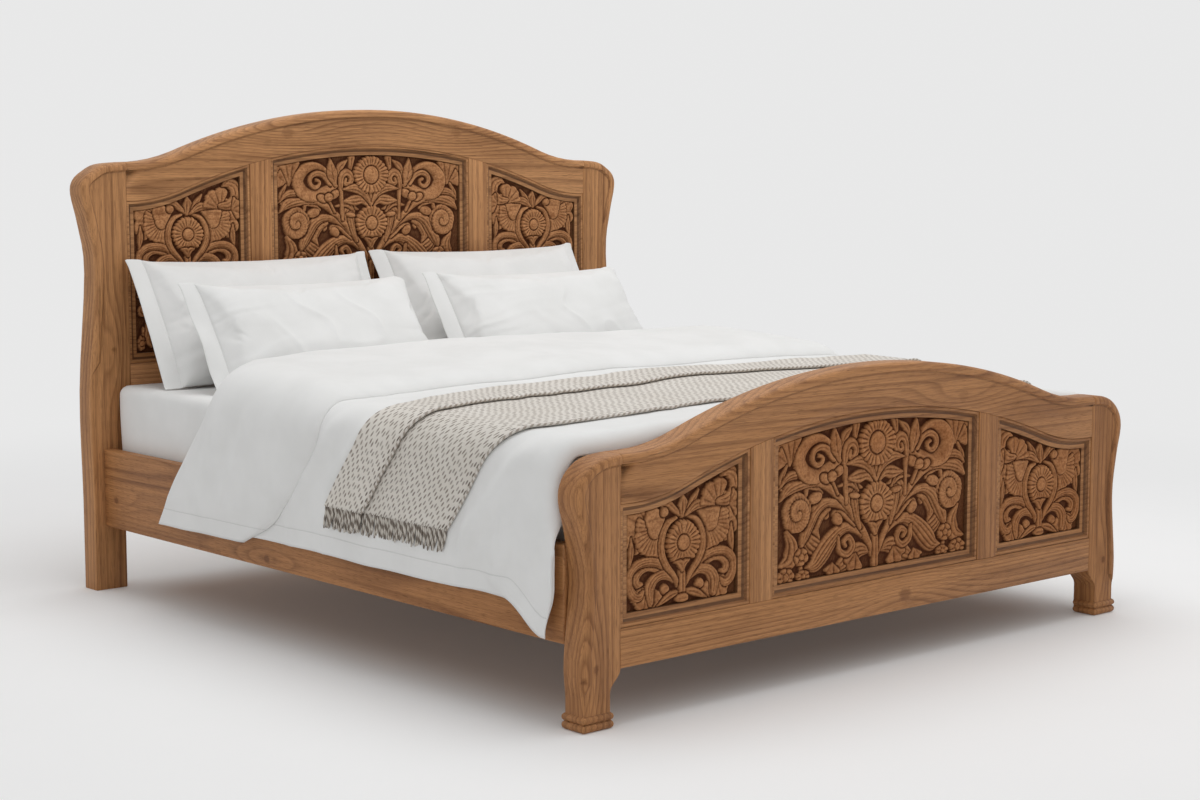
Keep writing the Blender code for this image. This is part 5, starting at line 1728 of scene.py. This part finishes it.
@dataclass(frozen=True)
class Studio:
    """Pale floor, soft light from above, and the camera at the photograph's angle."""

    eye: tuple[float, float, float] = (-3.9147, -4.4859, 1.2337)
    pitch: float = math.radians(90.0 - 6.514)
    heading: float = math.radians(-41.424)
    lens: float = 65.52
    sensor: float = 36.0
    backdrop: float = 0.810
    ambient: float = 0.60
    floor_size: float = 60.0

    def camera(self) -> None:
        """Adds the camera."""
        data = bpy.data.cameras.new("camera")
        data.lens = self.lens
        data.sensor_width = self.sensor
        data.sensor_fit = "HORIZONTAL"
        made = Meshes.link("camera", data)
        made.location = self.eye
        made.rotation_euler = (self.pitch, 0.0, self.heading)
        bpy.context.scene.camera = made

    def lamp(self, name: str, place: Sequence, aim: Sequence, size: float, power: float) -> None:
        """Adds a square area lamp that points at a place."""
        data = bpy.data.lights.new(name, "AREA")
        data.size = size
        data.energy = power
        made = Meshes.link(name, data)
        made.location = place
        across, back, down = np.subtract(aim, place)
        tilt = math.acos(-down / math.hypot(across, back, down))
        made.rotation_euler = (tilt, 0.0, math.atan2(across, -back))

    def seen(self, s: Shader) -> Sock:
        """1 for what the camera, a reflection or a clear surface sees, 0 for light on things."""
        paths = s.node("ShaderNodeLightPath").socket.node
        camera, glossy, clear = (Sock(s, paths.outputs[f"Is {kind} Ray"])
                                 for kind in ("Camera", "Glossy", "Transmission"))
        return camera.most(glossy).most(clear)

    def world(self) -> None:
        """Even light from all round, and the pale backdrop that the camera sees."""
        s = Shader("studio", "worlds")
        level = self.seen(s) * (self.backdrop - self.ambient) + self.ambient
        back = s.node("ShaderNodeBackground", None, {0: (1.0, 1.0, 1.0, 1.0), 1: level})
        bpy.context.scene.world = s.end(back, "ShaderNodeOutputWorld")

    def floor(self) -> None:
        """A pale floor that keeps the shadow and fades into the backdrop away from the bed. Under the bed it
        has a painted brown shadow as the camera sees it, and a painted warm bounce from the wood in the light
        it sends on; near the bed a twentieth of it glows as painted light that lifts the shadow.
        """
        half = self.floor_size / 2
        corners = np.array([(-half, -half, 0), (half, -half, 0), (half, half, 0), (-half, half, 0)], float)
        piece = Meshes.build("studio_floor", corners, [(0, 1, 2, 3)], False)
        s = Shader("studio_floor_paint")
        x, y, _ = s.parts(s.place())
        away = (x * x + y * y).root()
        dust = s.noise(s.place(), 3.0, 3.0)
        # under: where the painted shadow and the painted warm bounce lie beneath the bed
        under = abs(x).rise(1.05, 0.70) * abs(y).rise(1.12, 0.80)
        tone = s.mix(dust, (0.86, 0.86, 0.86), (0.88, 0.88, 0.88))
        # the light the floor sends on, with a painted warm bounce from the wood under the bed
        paint_with_painted_bounce = s.mix(under, tone, (0.86, 0.76, 0.70))
        # what the camera sees, with a painted brown shadow under the bed
        seen_paint_with_painted_shadow = s.mix(under, s.mix(dust, (0.98, 0.98, 0.98), (1.0, 1.0, 1.0)), (0.62, 0.480, 0.400))
        paint = s.node("ShaderNodeBsdfDiffuse", None, {0: s.mix(self.seen(s), paint_with_painted_bounce, seen_paint_with_painted_shadow)})
        glow = s.node("ShaderNodeEmission", None, {0: (self.backdrop,) * 3 + (1.0,), 1: 1.0})
        # near the bed a twentieth is painted glow that lifts the shadow; far off the floor becomes the
        # backdrop
        share = (0.05 + away.rise(1.7, 4.6) * 0.95) * self.seen(s)
        piece.data.materials.append(s.end(s.node("ShaderNodeMixShader", None, {0: share, 1: paint, 2: glow})))

    def build(self) -> None:
        """Sets the view transform and adds camera, lamps, world and floor."""
        bpy.context.scene.view_settings.view_transform = "Standard"
        self.camera()
        self.world()
        self.lamp("overhead", (0.4, -0.4, 4.4), aim=(0.0, -0.2, 0.3), size=3.8, power=76.0)
        self.lamp("key", (1.6, -4.8, 3.0), aim=(0.0, -0.4, 0.4), size=2.8, power=205.0)
        self.lamp("fill", (-4.6, -1.6, 2.0), aim=(0.0, 0.0, 0.4), size=3.0, power=84.0)
        self.floor()


PALE = {"light": (0.60, 0.42, 0.25), "body": (0.52, 0.35, 0.20), "dark": (0.36, 0.22, 0.11)}
CARVED = {"light": (0.620, 0.306, 0.134), "body": (0.448, 0.176, 0.058), "dark": (0.172, 0.047, 0.012),
          "stain_and_shade": (0.042, 0.0078, 0.0021)}
HEAD_STILE = {"light": (0.74, 0.385, 0.168), "body": (0.56, 0.268, 0.104)}
HEART_Y = {"headboard": 1.13, "footboard": -0.92}
# Rim planes and board middles: a painted shade line runs along each rim's inner foot.
RIMS = {"headboard": (0.988, 0.80), "footboard": (-1.070, 0.30)}
EYES = {
    "footboard_post_left": ((-0.938, -1.062, 0.115, 0.010, 1.0), (-0.9056, -1.066, 0.135, 0.011, 0.8)),
    "footboard_post_right": ((0.899, -1.063, 0.148, 0.010, 0.9),),
    "footboard_bottom_rail": ((0.094, -1.063, 0.163, 0.021, 0.65),),
    "footboard_crest_rail": ((0.303, -1.063, 0.632, 0.018, 0.30),),
    "headboard_post_left": ((-0.8987, 0.988, 0.6786, 0.012, 0.9),),
    "headboard_crest_rail": ((-0.308, 0.995, 1.2857, 0.020, 0.40), (0.320, 0.995, 1.289, 0.018, 0.40)),
    "side_rail_left": ((-0.938, 0.930, 0.262, 0.012, 0.9), (-0.938, 0.165, 0.205, 0.013, 0.9)),
}
BEDDING = ("mattress", "pillow", "duvet", "throw")


def stained_wood_of(node: str) -> Material:
    """The stained wood of one node: its grain, its log's heart, its knots and where shade is painted in its
    recesses.
    """
    board = node.split("_")[0]
    low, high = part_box(node)
    figure: dict[str, Any] = {"eyes": EYES.get(node, ())}
    if node.startswith("side_rail"):
        grain, heart = Grain.LENGTHWISE, (0.80, 0.20)
    elif "post" in node or "stile" in node:
        grain, heart = Grain.UPRIGHT, ((low.x + high.x) / 2 + 0.24, HEART_Y[board] + 0.14)
        figure["drift"] = 0.055
        if "post" in node:
            figure["rim"] = RIMS[board]
        elif board == "headboard":
            figure |= HEAD_STILE
    else:
        grain, heart = Grain.ACROSS, (HEART_Y[board], 0.5 if board == "footboard" else 1.1)
        if "panel" in node:
            figure["front"] = low.y
        elif "crest" in node:
            figure["rim"] = RIMS[board]
    return StainedWood(f"stained_{node}", grain, heart, **figure).make()


def dress_timber(timber: Timber) -> None:
    """Finishes every wooden and steel node."""
    zinc = ZincSteel().make()
    slat = StainedWood("slat_wood_across", Grain.ACROSS, (0.10, 0.45), **PALE).make()
    beam = StainedWood("slat_wood_along", Grain.LENGTHWISE, (0.06, 0.36), **PALE).make()
    post = StainedWood("slat_wood_upright", Grain.UPRIGHT, (0.05, 0.40), **PALE).make()
    for node in timber.nodes:
        if node.startswith(BEDDING):
            continue
        if node.startswith(("hook", "slot", "beam_hanger", "levelling")):
            timber.dress(node, zinc, "zinc_steel", 0.0003)
        elif node.startswith(("slat_ledger", "centre_beam")):
            timber.dress(node, beam, "slat_wood")
        elif node.startswith("centre_leg"):
            timber.dress(node, post, "slat_wood")
        elif node.startswith(("slat_", "cross_rail")):
            timber.dress(node, slat, "slat_wood")
        else:
            timber.dress(node, stained_wood_of(node), "stained_wood")
        LOG.info("dressed %s", node)


def main() -> None:
    """Builds the dressed bed in order and reports each piece."""
    logging.basicConfig(level=logging.INFO, format="%(name)s: %(message)s")
    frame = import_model()
    Studio().build()
    dress_timber(Timber(frame["nodes"], frame["record"]["behaviour"]["bodies"]))
    head = Board("headboard", apex=1.357, level_from=0.84, rail_high=0.635, ground_y=1.019, side_reach=0.847,
                 carving_shift=0.196)
    foot = Board("footboard", apex=0.733, level_from=0.80, rail_high=0.213, ground_y=-1.039, side_reach=0.835,
                 carving_shift=0.0)
    for board, heart in ((head, (1.13, 1.1)), (foot, (-0.92, 0.45))):
        carved = StainedWood(f"carved_{board.name}", Grain.ACROSS, heart, True, **CARVED).make()
        for piece in board.carve(carved):
            LOG.info("carved %s", piece.name)
    for piece in make_bedding():
        LOG.info("bedding %s", piece.name)


if __name__ == "__main__":
    main()
